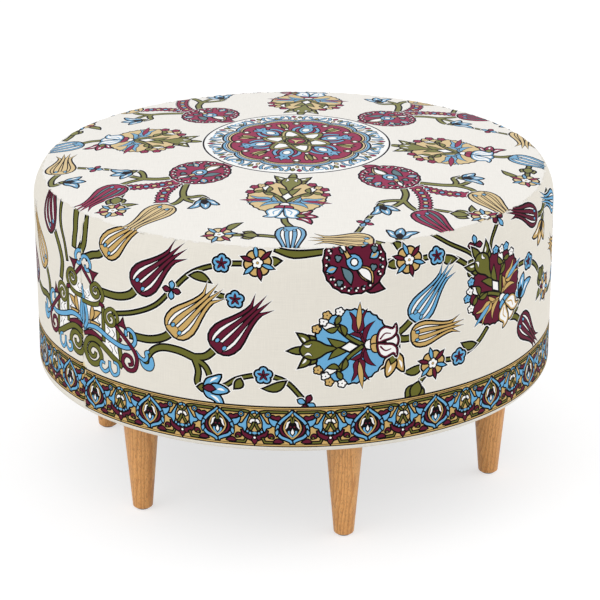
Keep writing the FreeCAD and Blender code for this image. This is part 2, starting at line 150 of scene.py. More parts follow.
def addStage():
    world = bpy.data.worlds.new("studio")
    world.use_nodes = True
    scene.world = world
    tree = world.node_tree
    back = tree.nodes["Background"]
    back.inputs["Color"].default_value = (1, 1, 1, 1)
    feed(tree, back.inputs["Strength"], remap(tree, lookedAt(tree), after=(studio["skyStrength"], 1.0)))
    bm = bmesh.new()
    bmesh.ops.create_grid(bm, x_segments=1, y_segments=1, size=studio["floorSize"] / 2)
    mesh = bpy.data.meshes.new("floor")
    bm.to_mesh(mesh)
    bm.free()
    floor = bpy.data.objects.new("floor", mesh)
    scene.collection.objects.link(floor)
    mat = bpy.data.materials.new("whiteSweep")
    mat.use_nodes = True
    tree = mat.node_tree
    tree.nodes.remove(tree.nodes["Principled BSDF"])
    paper = addNode(tree, "ShaderNodeBsdfDiffuse", {"Color": srgb(*studio["floorColour"])})
    glow = addNode(tree, "ShaderNodeEmission", {"Strength": studio["glowStrength"]})
    share = sums(tree, "MULTIPLY", lookedAt(tree), studio["floorGlow"])
    mix = addNode(tree, "ShaderNodeMixShader", [share, paper.outputs[0], glow.outputs[0]])
    tree.links.new(mix.outputs[0], tree.nodes["Material Output"].inputs["Surface"])
    mesh.materials.append(mat)
    addSoftbox("keySoftbox", studio["keyPlace"], studio["keySize"], studio["keyPower"])
    addSoftbox("fillSoftbox", studio["fillPlace"], studio["fillSize"], studio["fillPower"])


addCamera()
addStage()
print("stage: camera, floor and softboxes set")

# drawing kit: a point on the flat cloth is a complex number in millimetres, and a motif is a list of
# (ink, outline, line width), which points along +x until it is laid down
inks = {  # painted light: the top's colours are painted paler than the side's, standing in for the stronger light and sheen on the top
    "ground": {"side": (229, 224, 213), "top": (240, 237, 231)},
    "white": {"side": (248, 247, 245), "top": (250, 250, 249)},
    "dark": {"side": (6, 4, 6), "top": (32, 26, 32)},
    "burgundy": {"side": (98, 24, 48), "top": (156, 58, 90)},
    "blue": {"side": (108, 172, 214), "top": (125, 175, 210)},
    "tan": {"side": (203, 168, 104), "top": (221, 197, 150)},
    "olive": {"side": (104, 104, 44), "top": (132, 132, 80)},
    "slate": {"side": (96, 126, 136), "top": (104, 128, 136)},
}
inkNumber = {name: i for i, name in enumerate(inks)}
pen = {"plain": 2.15, "fine": 1.6, "petal": 1.3, "thin": 0.9, "halo": 0.8}


def unit(z):
    return z / np.maximum(np.abs(z), 1e-9)


def ray(degrees, length=1.0):
    return length * np.exp(1j * np.radians(degrees))


def flow(points, steps, closed=False):  # smooth curve through a few points
    p = np.asarray(points, complex)
    if closed:
        p = np.concatenate([p[-1:], p, p[:2]])
    else:
        p = np.concatenate([[2 * p[0] - p[1]], p, [2 * p[-1] - p[-2]]])
    t = np.arange(steps) / steps
    spans = []
    for a, b, c, d in zip(p, p[1:], p[2:], p[3:]):
        square = a - 2.5 * b + 2 * c - d / 2
        cube = 1.5 * (b - c) + (d - a) / 2
        spans.append(b + (c - a) * t / 2 + square * t**2 + cube * t**3)
    line = np.concatenate(spans)
    return line if closed else np.append(line, p[-2])


def blob(points, steps=3):  # smooth closed shape through a few points
    return flow(points, steps, True)


def even(first, side, last):  # closed shape that is the same on both sides of its axis
    return blob([first, *side, last, *np.conj(side)[::-1]])


def strip(line, width):  # closed outline of a stroke; width is one number or several along the line
    widths = np.atleast_1d(np.asarray(width, float))
    along = np.linspace(0, 1, len(line))
    half = np.interp(along, np.linspace(0, 1, len(widths)), widths) / 2
    side = 1j * unit(np.gradient(line)) * half
    return np.concatenate([line + side, (line - side)[::-1]])


def stroke(points, width, steps=5):
    return strip(flow(points, steps), width)


def leaf(base, tip, width, bend=0.0, belly=0.5, count=6):  # pointed at both ends, widest at belly
    t = np.linspace(0, 1, count + 1)
    axis = tip - base
    middle = base + axis * t + 1j * axis * bend * 4 * t * (1 - t)
    half = width / 2 * np.sin(math.pi * t ** (math.log(0.5) / math.log(belly)))
    side = 1j * unit(axis) * half
    return np.concatenate([middle + side, (middle - side)[-2:0:-1]])


def disc(at, radius, count, stretch=1.0):
    turn = np.exp(2j * math.pi * np.arange(count) / count)
    return at + radius * (turn.real * stretch + 1j * turn.imag)


def lobed(radius, lobes, depth, perLobe, power=1.0, at=0, start=0.0):  # round, with inward cusps
    turn = 2 * math.pi * np.arange(lobes * perLobe) / (lobes * perLobe)
    swell = np.abs(np.cos(lobes * turn / 2)) ** power
    return at + radius * (1 - depth * (1 - swell)) * np.exp(1j * (turn + math.radians(start)))


def star(radius, inner, points, start, at=0):
    turn = math.pi * np.arange(2 * points) / points + math.radians(start)
    return at + np.where(np.arange(2 * points) % 2, inner, radius) * np.exp(1j * turn)


def saw(points, width, tooth, steps):  # stroke with a toothed edge
    line = flow(points, steps)
    side = 1j * unit(np.gradient(line))
    half = width / 2 + tooth * (np.arange(len(line)) % 2)
    return np.concatenate([line + side * half, (line - side * half)[::-1]])


def grow(shape, by):  # outline moved outwards by a line's width
    ahead = unit(np.roll(shape, -1) - shape)
    behind = unit(shape - np.roll(shape, 1))
    wayRound = np.sign(np.sum((np.conj(shape) * np.roll(shape, -1)).imag))
    corner = np.clip(np.abs(ahead + behind) / 2, 0.5, 1)
    return shape - 1j * wayRound * unit(ahead + behind) * by / corner


def plain(ink, shape):  # part of a motif with the usual line
    return ink, shape, pen["plain"]


def fine(ink, shape):  # part of a motif with a finer line
    return ink, shape, pen["fine"]


def both(parts):  # a motif's half and its mirror image
    return parts + [(ink, np.conj(shape), line) for ink, shape, line in parts]


def moved(motif, at=0, turn=0.0, size=1.0):
    way = size * ray(turn)
    return [(ink, at + way * shape, line) for ink, shape, line in motif]


def lay(art, motif, at=0, turn=0.0, size=1.0, halo=True):  # white halo first, then lines and fills
    placed = moved(motif, at, turn, size)
    for ink, shape, line in placed:
        if line and halo:
            art.append(("white", grow(shape, line + pen["halo"])))
    for ink, shape, line in placed:
        if line:
            art.append(("dark", grow(shape, line)))
        art.append((ink, shape))


def layMerged(art, motif):  # all lines before all fills, so that stems run into each other
    art += [("white", grow(shape, line + pen["halo"])) for ink, shape, line in motif]
    art += [("dark", grow(shape, line)) for ink, shape, line in motif]
    art += [(ink, shape) for ink, shape, line in motif]


# flowers and leaves
tulipForm = {
    "along": (0.0, 0.03, 0.08, 0.15, 0.25, 0.36, 0.48, 0.60, 0.70, 0.77),
    "swell": (0.30, 0.62, 0.85, 0.97, 1.00, 0.88, 0.68, 0.51, 0.42, 0.41),
    "lobes": ((-1.0, -0.72), (-0.42, -0.12), (0.16, 0.44), (0.76, 1.0)),
    "tips": ((-1.75, 0.93), (-0.55, 1.00), (0.50, 1.01), (1.75, 0.92)),
    "spread": ((0.45, 0.77), (1.0, 1.35)),
}


def tulip(fill, length, width, sliver="white"):  # slivers show between the petals
    t = np.array(tulipForm["along"])
    half = width / 2 * np.array(tulipForm["swell"])
    outline = np.concatenate([length * t - 1j * half, (length * t + 1j * half)[::-1]])
    parts = [plain(sliver, outline)]
    pinch = 0.2 if fill == "blue" else 0.0
    spread = np.interp(t, *tulipForm["spread"])
    for (low, high), (flare, reach) in zip(tulipForm["lobes"], tulipForm["tips"]):
        tip = length * reach + 1j * flare * half[-1]
        near = (low + high) / 2 - (high - low) / 2 * (spread - pinch * (low > -1))
        far = (low + high) / 2 + (high - low) / 2 * (spread - pinch * (high < 1))
        lobe = np.concatenate([length * t + 1j * near * half, [tip], (length * t + 1j * far * half)[::-1]])
        parts.append((fill, lobe, pen["petal"]))
    cup = [0, 0.02 * length - 0.24j * width, 0.13 * length - 0.03j * width, 0.02 * length + 0.26j * width]
    parts.append((fill, blob(cup), pen["thin"]))
    for at in (0.10 * length - 0.19j * width, 0.11 * length + 0.13j * width):
        parts.append(("blue", disc(at, 0.052 * width, 7, 1.5), pen["thin"]))
    return parts


def starFlower(radius):
    parts = [plain("blue", lobed(radius, 5, 0.3, 6, 0.8))]
    for k in range(5):
        petal = leaf(0, ray(72 * k, 0.66 * radius), 0.2 * radius, 0, 0.55)
        parts.append(("burgundy", petal, 0.09 * radius))
    return parts


def rayFlower(radius):
    parts = [plain("tan", lobed(radius, 6, 0.22, 6, 0.8))]
    for k in range(6):
        way = ray(30 + 60 * k, radius)
        ink = ("burgundy", "blue")[k % 2]
        parts.append(fine(ink, leaf(0.2 * way, 1.28 * way, 0.25 * radius, 0, 0.62)))
    parts.append(fine("white", lobed(0.4 * radius, 5, 0.3, 4)))
    parts.append(("tan", disc(0, 0.09 * radius, 6), 0.5))
    return parts


def crossFlower(radius):
    parts = []
    for k, ink in enumerate(("blue", "burgundy", "blue", "burgundy")):
        parts.append(fine(ink, leaf(0, ray(45 + 90 * k, radius), 0.55 * radius, 0, 0.66)))
    return parts


def bell(petal, core):  # open bud seen from the side, base at 0, about 32 long
    upper = [3 + 2j, 6 + 11j, 14 + 15j, 23 + 18j, 20 + 10j, 13 + 3j]
    lower = [3 - 2j, 6 - 10j, 15 - 14j, 25 - 23j, 24 - 12j, 15 - 3j]
    middle = [9, 14 + 6j, 24 + 5j, 32 - 1j, 23 - 5j, 14 - 5j]
    parts = [plain("olive", leaf(-5, 9, 9))]
    parts += [plain(petal, blob(points)) for points in (lower, upper, middle)]
    for base, tip in ((10 + 8j, 20 + 15j), (10 - 8j, 22 - 17j), (18, 28 - 1j)):
        parts.append(("white", leaf(base, tip, 3, 0.1), 0))
    parts.append(fine(core, leaf(2, 16, 8, 0.05)))
    return parts


def knot(size):  # swelling on a stem with two small side leaves
    parts = both([plain("olive", leaf(-6, 9 + 8j, 8, 0.1, 0.6))])
    parts.append(plain("olive", leaf(-8, 10, 11, 0, 0.45)))
    return moved(parts, size=size)


def sprayLeaf(length, width=8):
    return [plain("olive", leaf(0, length, width, 0.12, 0.45))]


def stem(points, width):
    return [plain("olive", stroke(points, width))]


carnationInks = {
    "top": {"fan": "tan", "posy": ("burgundy", "tan", "burgundy", "burgundy"), "dart": ("blue", "burgundy"),
            "sprig": "blue", "bract": "burgundy", "rim": "blue"},
    "sideBlue": {"fan": "blue", "posy": ("tan", "white", "tan", "white"), "dart": ("burgundy", "tan"),
                 "sprig": "burgundy", "bract": "tan", "rim": "burgundy"},
    "sideRed": {"fan": "burgundy", "posy": ("blue", "white", "blue", "white"), "dart": ("tan", "blue"),
                "sprig": "tan", "bract": "blue", "rim": "tan"},
}


def carnation(colours):  # calyx tip at 0, fan about 85 across, end petals out to 118
    fanEdge = lobed(1.0, 30, 0.055, 3, 1.0)
    parts = [plain(colours["fan"], 66 + 42 * fanEdge.real + 43j * fanEdge.imag)]
    parts += both([
        plain("olive", leaf(19 + 4j, 8 + 19.5j, 7.5, -0.12, 0.45)),
        plain("olive", leaf(24 + 8j, 21 + 16j, 4.5, -0.2)),
        ("white", leaf(16 + 8.5j, 11 + 15.5j, 2.4, -0.1), 0),
    ])
    parts.append(plain("olive", leaf(20, -3, 7)))
    body = even(10, [14 + 7j, 22 + 10.5j, 30 + 8.5j, 38 + 3.5j], 50)
    parts.append(plain("olive", body))
    parts += both([
        ("white", leaf(13.5 + 6.5j, 22 + 7j, 2.6, -0.3), 0.8),
        fine("white", leaf(48 + 26j, 33.5 + 29j, 7, 0.1)),
        fine("olive", stroke([78 + 1j, 63.5 + 11j, 53 + 22j, 49.5 + 30j], (3.2, 2.4))),
        fine("olive", leaf(65 + 2j, 41 + 11.5j, 7.5, 0.12)),
        fine("olive", leaf(59 + 14j, 55 + 26j, 5, -0.1)),
        fine("olive", leaf(49.5 + 28j, 54 + 37j, 5)),
        fine("olive", leaf(51 + 24j, 39 + 22j, 5, 0.15)),
    ])
    for ink, at in zip(colours["posy"], (28 + 24j, 36 + 32j, 40 + 39j, 54 + 42j)):
        parts += both([fine(ink, lobed(4.6, 5, 0.35, 4, 1.0, at)), ("dark", disc(at, 0.9, 5), 0)])
    shell, heart = colours["dart"]
    parts += both([
        (colours["sprig"], stroke([83 + 2j, 78 + 9j, 74 + 17j], (4.0, 2.8)), 1.0),
        (colours["sprig"], leaf(81 + 5j, 92 + 26j, 5.0, 0.18, 0.4), 1.0),
        (colours["sprig"], leaf(77 + 9j, 65 + 15j, 4.5, -0.15), 1.0),
        (shell, blob([73.5 + 16j, 67.5 + 21j, 68 + 31j, 65 + 40j, 71 + 33j, 73.5 + 24j]), 1.0),
        (shell, blob([73.5 + 16j, 80 + 20j, 79.5 + 31j, 84 + 41j, 77 + 33j, 74.5 + 24j]), 1.0),
        (heart, leaf(74 + 19j, 76.5 + 50j, 5.2, 0, 0.42), 1.0),
    ])
    parts.append(plain("white", np.array([55, 63.5 + 5j, 72, 63.5 - 5j])))
    parts.append(fine("white", disc(86, 5.2, 8)))
    bract = blob([88 + 1j, 90 + 8.5j, 96 + 9.5j, 101 + 4j, 96 + 1j])
    parts += both([fine(colours["bract"], bract)])
    petal = blob([95 + 1j, 97 + 13j, 104 + 18j, 113 + 15j, 117 + 19j, 118 + 10j, 113 + 4j, 104 + 2j], 4)
    mid = even(104, [108 + 6j, 117 + 7j], 120)
    for shape in (mid, petal, np.conj(petal)):
        parts.append(fine(colours["rim"], shape))
        parts.append(("white", grow(shape, -1.7), 0))
    parts += both([(colours["rim"], stroke([98 + 4j, 104 + 10j, 111 + 9j], (2.2, 1.2)), 0)])
    return parts


def roundFlower():  # big round head, spike towards -x, about 34 in radius
    parts = [plain("burgundy", leaf(-24 + 5j, -44 + 2j, 15, -0.15, 0.35))]
    parts.append(plain("burgundy", lobed(34, 20, 0.05, 3)))
    for k in range(24):
        if k != 12:
            parts.append(("dark", disc(ray(15 * k, 29.5), 3.3, 6), 0))
            parts.append(("white", disc(ray(15 * k, 31), 1.25, 6), 0))
            parts.append((("slate", "white")[k % 2], disc(ray(15 * k + 4, 28.2), 1.1, 5), 0))
    parts.append(fine("tan", leaf(-4 + 3j, -30 + 4j, 13, 0.1)))
    parts.append(fine("white", leaf(-6 + 3j, -27 + 4j, 8, 0.1)))
    parts.append(fine("slate", leaf(7 + 13j, -12 + 20j, 8, 0.1)))
    parts.append(fine("blue", disc(1, 7.6, 12, 1.15)))
    parts.append(fine("white", disc(1, 3.4, 8)))
    for at, turn in ((-10 - 15j, 250), (4 - 19j, 280), (12 + 17j, 60)):
        parts += moved([fine("blue", leaf(0, 11, 7)), ("tan", leaf(1, 9, 2.6), 0)], at, turn)
    for at in (15 - 12j, 17 + 8j, -19 - 9j, -2 + 27j, -8 - 25j, 19 - 2j):
        parts.append(fine("slate", lobed(3.4, 3, 0.4, 4, 1.0, at)))
    parts.append(fine("tan", stroke([9, 14 - 2j, 21 - 6j], (4, 2))))
    parts.append(fine("white", leaf(16 - 3j, 27 - 8j, 4)))
    return parts


tailForm = {"width": 9.5, "tooth": 2.4, "bead": 2.5, "pitch": 9.0, "bare": 4.0}  # bare: mm at the end


def tail(points):  # toothed ribbon with a row of beads
    line = flow(points, 6)
    parts = [fine("burgundy", saw(points, tailForm["width"], tailForm["tooth"], 7))]
    run = np.concatenate([[0], np.cumsum(np.abs(np.diff(line)))])
    pitch = tailForm["pitch"]
    for k, reach in enumerate(np.arange(pitch, run[-1] - tailForm["bare"], pitch)):
        at = np.interp(reach, run, line.real) + 1j * np.interp(reach, run, line.imag)
        parts.append(fine(("tan", "blue")[k % 2], disc(at, tailForm["bead"], 7)))
    return parts


medallionForm = {  # radii, and how deep the cusps are
    "circle": 107.5, "blue": 87.0, "tan": 81.0, "field": 77.0,
    "beads": 68.0, "bloom": 55.0, "rosette": 47.0, "cusp": 0.075,
}


def scallop(radius):
    return lobed(radius, 12, medallionForm["cusp"], 10, 0.6, 0, 15)


def rosette():  # crowned blue flower, outwards is +x
    parts = both([("blue", stroke([-19 + 3j, -15 + 11.5j, -3 + 14.5j, 7 + 10j], (2.4, 3.4, 3)), 1.5)])
    body = even(-17, [-8 + 7j, 2 + 7j, 8 + 4j, 14 + 8.5j, 17 + 7j, 16 + 2.5j], 21)
    parts.append(("blue", body, 1.6))
    parts.append(("white", disc(-4, 4.2, 9, 1.4), 1.2))
    parts += both([("dark", disc(9.5 + 0.1j, 1.3, 6), 0), ("dark", disc(14 + 4.8j, 1.3, 6), 0)])
    return parts


def bloom():  # small tan flower between the rosettes
    parts = both([("tan", leaf(-12, 12 + 6j, 8, -0.1, 0.6), 1.5)])
    parts.append(("olive", leaf(-8, 15, 4.6, 0, 0.55), 1.5))
    parts.append(("white", disc(-9, 2.0, 7), 1.2))
    return parts


def medallion():
    form = medallionForm
    parts = [plain("white", disc(0, form["circle"], 96))]
    for k in range(12):
        lobe = 15 + 30 * k
        parts += moved(both([
            ("blue", stroke([88 + 15j, 95 + 16.5j, 101 + 14j], (1.6, 2.6, 2.2)), 1.1),
            ("blue", stroke([90 + 3j, 96 + 8.5j, 101 + 9j], (1.8, 2.8, 2)), 1.1),
            ("blue", stroke([97 + 7j, 100 + 3j, 99], (1.6, 2.2, 2)), 0),
        ]) + [("olive", leaf(90, 96, 4), 1.1)], turn=lobe)
        parts += moved([
            ("burgundy", leaf(95 + 3j, 103 + 3.5j, 4.6, 0, 0.6), 1.1),
            ("olive", leaf(93 - 3.5j, 101 - 4.5j, 4.2, 0, 0.6), 1.1),
            ("tan", leaf(86 + 1j, 92 + 1j, 3.0), 1.1),
        ], turn=lobe + 15)
    parts.append(plain("blue", scallop(form["blue"])))
    parts.append(("white", scallop(form["tan"] + 2.4), 1.0))
    parts.append(fine("tan", scallop(form["tan"])))
    parts.append(plain("burgundy", scallop(form["field"])))
    for k in range(6):
        parts += moved(rosette(), ray(15 + 60 * k, form["rosette"]), 15 + 60 * k)
        parts += moved(bloom(), ray(45 + 60 * k, form["bloom"]), 45 + 60 * k)
        for j in (0, 30):
            at = ray(60 * k + j, form["beads"])
            parts.append(("tan", disc(at, 3.8, 9), 1.5))
            parts.append(("white", disc(at, 2.5, 7), 1.0))
    loop = disc(0, 14, 40, 2.9)
    hole = grow(loop, -3.4)
    ring = np.concatenate([np.append(loop, loop[0]), np.append(hole, hole[0])[::-1]])
    inner = np.append(grow(loop, -1.2)[2:9], grow(loop, -2.2)[8:1:-1])
    for k in range(3):
        parts += moved([("white", loop, 1.6)], turn=45 + 60 * k)
    for k in range(3):
        parts += moved([("olive", ring, 1.4)], turn=45 + 60 * k)
        for j in (0, 180):
            parts += moved([("tan", inner, 0)], turn=45 + 60 * k + j)
    parts.append(plain("olive", disc(0, 12.5, 20)))
    parts.append(("burgundy", disc(0, 9.6, 18), 1.6))
    parts.append(("tan", star(9.5, 2.4, 3, 20), 1.5))
    return parts


# lower border: ogee cartouches and lotus heads by turns, right halves drawn and mirrored
border = {"low": 137.0, "high": 182.0, "repeat": 82.0, "firstOgee": 20.0, "middle": 159.0, "heavier": 0.45}


def mirrored(parts):
    return parts + [(ink, -np.conj(shape), line) for ink, shape, line in parts]


def ogee():  # upright on +y, about 38 high
    fieldEdge = flow([18.8j, 8 + 11.5j, 14.2 + 4.2j, 16.4 - 2j, 15.6 - 7j, 12 - 11.6j, 5 - 14.6j, -18j], 3)
    crest = [12.3 + 9.7j, 14.5 + 12.6j, 18 + 11.6j, 21 + 13.2j, 23.4 + 12j, 20.5 + 9.8j, 16 + 8.6j]
    wing = [14 + 4j, 17 + 1.4j, 21 + 2j, 23.8 + 5.4j, 25 + 10j, 21.5 + 8j, 18 + 7.3j, 15.5 + 5.8j]
    hoop = [15.3 + 2.8j, 16.6 - 2j, 15.8 - 7j, 12 - 11.6j, 6 - 14.2j, 2 - 16.4j, 1 - 18.6j]
    scroll = [1.6 + 11.5j, 5.6 + 8.2j, 8.8 + 1.5j, 8.4 - 3.5j, 5.2 - 8.8j, -13.2j]
    parts = [("dark", np.concatenate([fieldEdge, -np.conj(fieldEdge)[-2:0:-1]]), 0)]
    parts += mirrored([
        ("burgundy", blob(crest), 1.2),
        ("blue", blob(wing), 1.3),
        ("blue", disc(26.4 + 14.2j, 2.4, 9), 1.2),
        ("tan", disc(26.4 + 14.2j, 0.9, 6), 0.5),
        ("blue", stroke(hoop, (2.2, 2.6, 2.6, 1.8), 3), 1.3),
        ("blue", leaf(16.2 - 3j, 17.2 - 9.6j, 3.0, 0, 0.5, 4), 1.0),
        ("blue", stroke([18.8j, 3.5 + 15j, 8 + 11.2j, 12 + 7.3j, 14.4 + 4j], (1.6, 2.4, 2.6), 3), 1.3),
        ("burgundy", stroke([12 + 3j, 12.6 - 2.5j, 10.2 - 7.4j, 5.4 - 11.2j], (0.6, 1.7, 1.7, 0.6), 3), 0),
        ("tan", stroke(scroll, (0.7, 1.5, 1.4), 3), 0),
        ("white", stroke([2.6 + 6.8j, 5.0 + 5.2j, 6.0 + 1j, 7.6 - 1.8j], (0.8, 2.2, 1.9, 0.7), 3), 0),
        ("olive", stroke([2.4 + 12.4j, 1.3 + 9.5j, 0.6 + 5.4j], (1.6, 1.1), 3), 0),
        ("burgundy", disc(2.0 + 0.6j, 1.0, 6), 0),
    ])
    parts.append(("tan", leaf(16.2j, 12.4j, 2.0, 0, 0.5, 3), 0))
    parts.append(("blue", blob([-5.2j, 4.4 - 3.9j, 4.6 - 7.4j, -11.6j, -4.6 - 7.4j, -4.4 - 3.9j]), 0))
    parts.append(("white", leaf(-1.6j, -8.6j, 3.4, 0, 0.6, 4), 0.9))
    return parts


def lotus():  # upright on +y, with the olive line that runs along the top and dips into it
    olive = np.array([35.5 + 17.8j, 11 + 17.8j, 7 + 16.8j, 0.4 + 9.2j])
    petal = [6 + 14.4j, 10.6 + 7.3j, 13.7 + 3j, 18.8 + 2.8j, 16.4 - 0.3j,
             12.6 - 1.6j, 10.8 - 5.4j, 9.2 - 1j, 9 + 6j]
    parts = mirrored([("olive", strip(olive, 1.7), 1.1)])
    parts.append(("tan", disc(4.6j, 10.4, 20, 0.8), 1.4))
    parts += mirrored([
        ("blue", stroke([17.2j, 2.6 + 16.4j, 4.4 + 14j], 1.7, 3), 1.0),
        ("olive", strip(np.array([6 + 15.6j, 0.4 + 9.2j]), 1.5), 0.9),
        ("olive", stroke([0.5 + 4.6j, 2.3 + 0.4j, 4.6 - 3.8j], (1.3, 1.9), 3), 1.0),
        ("white", stroke([7.4j, 3 + 7.2j, 4.6 + 4.4j], (2.6, 2.6, 1.9), 3), 1.0),
        ("dark", stroke([10.6 - 4.6j, 6.4 - 7.8j, -9.2j], 5.0, 3), 0),
        ("burgundy", stroke([13.4 - 4.8j, 11.4 - 9j, 6.6 - 12.2j, -14.4j], (1.6, 3.4, 4, 4.6), 3), 1.3),
        ("blue", blob(petal), 1.3),
        ("blue", disc(7.7 - 5.9j, 1.2, 6), 0),
        ("blue", disc(4.7 - 7.7j, 1.3, 6), 0),
    ])
    parts.append(("burgundy", leaf(-13.5j, -20.4j, 5.2, 0, 0.35, 4), 1.0))
    parts.append(("blue", disc(-7.6j, 1.5, 8, 1.7), 0))
    parts.append(("white", disc(-13.0j, 1.3, 7), 0.7))
    return parts


def clouds():  # small scrolls at the foot between ogee and lotus
    foot = np.array([14 - 18.2j, 30 - 18.2j, 32.2 - 13.2j])
    lower = [10.6 - 17.4j, 13.6 - 15j, 16.6 - 14.2j, 18.8 - 15.8j, 20 - 17.6j, 15 - 18.2j]
    upper = [20.4 - 11j, 22.4 - 8.6j, 25.2 - 9.2j, 25.6 - 12j, 23.2 - 13j, 20.8 - 13.2j]
    return mirrored([
        ("olive", strip(foot, 1.6), 1.1),
        ("burgundy", blob(lower), 1.1),
        ("burgundy", blob(upper), 1.1),
        ("olive", disc(22.4 - 12.6j, 1.1, 6), 0.6),
    ])


def borderArt(start, end, shift):
    art = []
    low, high = border["low"], border["high"]

    def band(a, b, ink):
        corners = [start + 1j * a, end + 1j * a, end + 1j * b, start + 1j * b]
        art.append((ink, np.array(corners)))

    band(low - 1.3, high + 1.6, "dark")
    band(low, high - 0.2, "tan")
    band(high - 2.1, high - 1.3, "dark")
    band(low + 1.3, low + 2.0, "dark")
    first = math.floor((start - border["firstOgee"]) / border["repeat"]) - 1
    last = math.ceil((end - border["firstOgee"]) / border["repeat"]) + 1
    motif = clouds() + moved(lotus(), border["repeat"] / 2) + ogee()
    for k in range(first, last):
        at = border["firstOgee"] + shift + k * border["repeat"] + 1j * border["middle"]
        for ink, shape, line in moved(motif, at):
            if line:
                art.append(("dark", grow(shape, line + border["heavier"])))
            art.append((ink, shape))
    return art


# strapwork that straddles the upright seams
strapCells = [  # white grounds between the straps
    [2 + 281j, 8 + 277j, 17 + 284j, 18 + 276j, 24 + 271j, 18 + 266j, 2 + 266j],
    [6 + 262j, 20 + 262j, 36 + 265j, 36 + 236j, 26 + 239j, 13 + 239j, 8 + 246j],
    [40 + 248j, 47 + 246j, 57 + 247j, 61 + 230j, 64 + 208j, 40 + 222j],
]
strapLines = [  # thin dark scrolls on them
    [4 + 277j, 9 + 273j, 7 + 269j, 13 + 269j], [12 + 278j, 15 + 274j, 12 + 271j],
    [25 + 257j, 30 + 253j, 28 + 248j, 33 + 244j], [43 + 244j, 48 + 240j, 44 + 235j, 49 + 231j, 45 + 226j],
    [51 + 243j, 55 + 238j, 52 + 233j, 57 + 228j, 54 + 222j, 58 + 216j], [47 + 224j, 51 + 219j, 50 + 215j],
]
strapLeaves = [(33 + 258j, 7, 0.1), (19 + 263j, 5.5, -0.1), (31 + 243j, 6, -0.15)]  # tip, width, bend
strapWeight = 1.2  # every strap's width times this
straps = [  # ink, points, widths along them, line
    ("burgundy", [4 + 226j, 18 + 230.5j, 35 + 226.5j], (2.6, 4.4, 1.8), 1.3),
    ("olive", [37.5 + 266j, 37.5 + 248j, 37.5 + 226j], 3.2, 1.3),
    ("olive", [59 + 254j, 60 + 240j, 62 + 222j, 65.6 + 203j], (3, 3.2, 4), 1.3),
    ("olive", [65 + 203j, 52 + 210j, 37.5 + 218.5j, 23.4 + 224j, 10 + 220j, 4.7 + 208j, 12 + 195.5j,
               24 + 195j, 33 + 204j, 28.5 + 214.5j, 18 + 216.5j, 12 + 209j, 16 + 202.5j, 22 + 203.5j,
               23.5 + 208j], (4.6, 4.6, 4.4, 3.8, 2.6), 1.2),
    ("blue", [4 + 231j, 12.5 + 237j, 28 + 238j, 44 + 232j, 62 + 227j, 75 + 227.5j, 84 + 235j, 83 + 244.5j,
              76.5 + 249j, 71.5 + 246j, 72 + 241j], (3, 4, 3.8, 3.2, 3, 2.4), 1.3),
    ("blue", [85 + 225j, 91 + 219.5j, 97 + 218j, 100 + 222j, 99 + 227j, 103 + 229j], (2.4, 3, 3, 2.2), 1.2),
    ("blue", [1 + 282j, 4 + 268j, 8 + 255j, 9.5 + 243j, 5 + 233j], (1.4, 3.2, 3.6, 3), 1.2),
    ("blue", [0.8 + 270j, 2.8 + 256j, 3.4 + 243j, 2 + 236j], (1.2, 2.4, 1.8), 1.0),
    ("burgundy", [57 + 248.5j, 70 + 237.5j, 82.5 + 225.5j, 86.5 + 215j, 82.8 + 203.5j, 73 + 201.5j,
                  66 + 209j, 70 + 217.8j, 78 + 216.5j, 79.7 + 209.5j, 75 + 207.5j],
     (2.8, 3, 3.2, 3, 2.2), 1.1),
    ("olive", [60 + 252j, 58.5 + 262j, 50 + 266.5j, 41.5 + 261j, 40.5 + 253j, 46 + 246.8j, 53.5 + 248.5j,
               54.8 + 255.5j, 50 + 259.5j, 45.8 + 256j, 48.5 + 252.5j], (3.2, 3, 2.8, 2.2), 0.9),
    ("olive", [1 + 264j, 19 + 264j, 31 + 268j, 37.5 + 276.5j, 34.5 + 285.5j, 26.5 + 289.5j, 19 + 285.5j,
               18.8 + 277.5j, 25 + 273.8j, 30.5 + 277j, 29.5 + 282.5j, 25 + 283j, 24 + 280j],
     (3.2, 3.4, 3.4, 3, 2.2), 1.1),
    ("burgundy", [0 + 305j, 8 + 297.5j, 18 + 288j], 2.8, 1.1),
    ("burgundy", [32 + 268.5j, 38 + 266.5j], 3.0, 1.1),
    ("blue", [1 + 311j, 5 + 316j, 12.5 + 316j, 17.5 + 309.5j, 15.5 + 302.5j, 9.5 + 301.5j, 8 + 306j],
     (2, 3, 3, 2.8, 1.8), 1.1),
    ("blue", [46 + 204j, 45.5 + 196j, 38.5 + 190j, 31.5 + 193.5j, 33 + 200.5j, 38 + 200j],
     (2.4, 2.6, 2.6, 1.8), 1.0),
    ("blue", [46 + 204j, 46.5 + 196j, 52 + 189.5j, 59 + 193.5j, 58.5 + 203j, 52.5 + 205j],
     (2.4, 2.6, 2.6, 1.8), 1.0),
]


def cornerPiece():  # drawn about the seam at x = 0, heights from the floor, right half mirrored
    half = [("white", np.array(cell), 0) for cell in strapCells]
    half += [("dark", stroke(points, 0.9, 3), 0) for points in strapLines]
    for tip, width, bend in strapLeaves:
        half.append(fine("tan", leaf(15 + 243.5j, tip, width, bend)))
    for ink, points, widths, line in straps:
        half.append((ink, stroke(points, np.multiply(widths, strapWeight), 3), line))
    half += [
        ("blue", blob([91 + 217j, 94 + 210j, 100 + 207j, 106 + 208.5j, 109 + 215j, 107 + 223j, 104 + 221j,
                       102.5 + 215j, 97 + 213.5j]), 1.3),
        fine("burgundy", star(8, 2.8, 3, 25, 22 + 299j)),
        fine("burgundy", star(7, 2.6, 3, 80, 66.5 + 253j)),
        ("burgundy", disc(63.4 + 234j, 2.0, 7), 0.9),
    ]
    return mirrored(half)


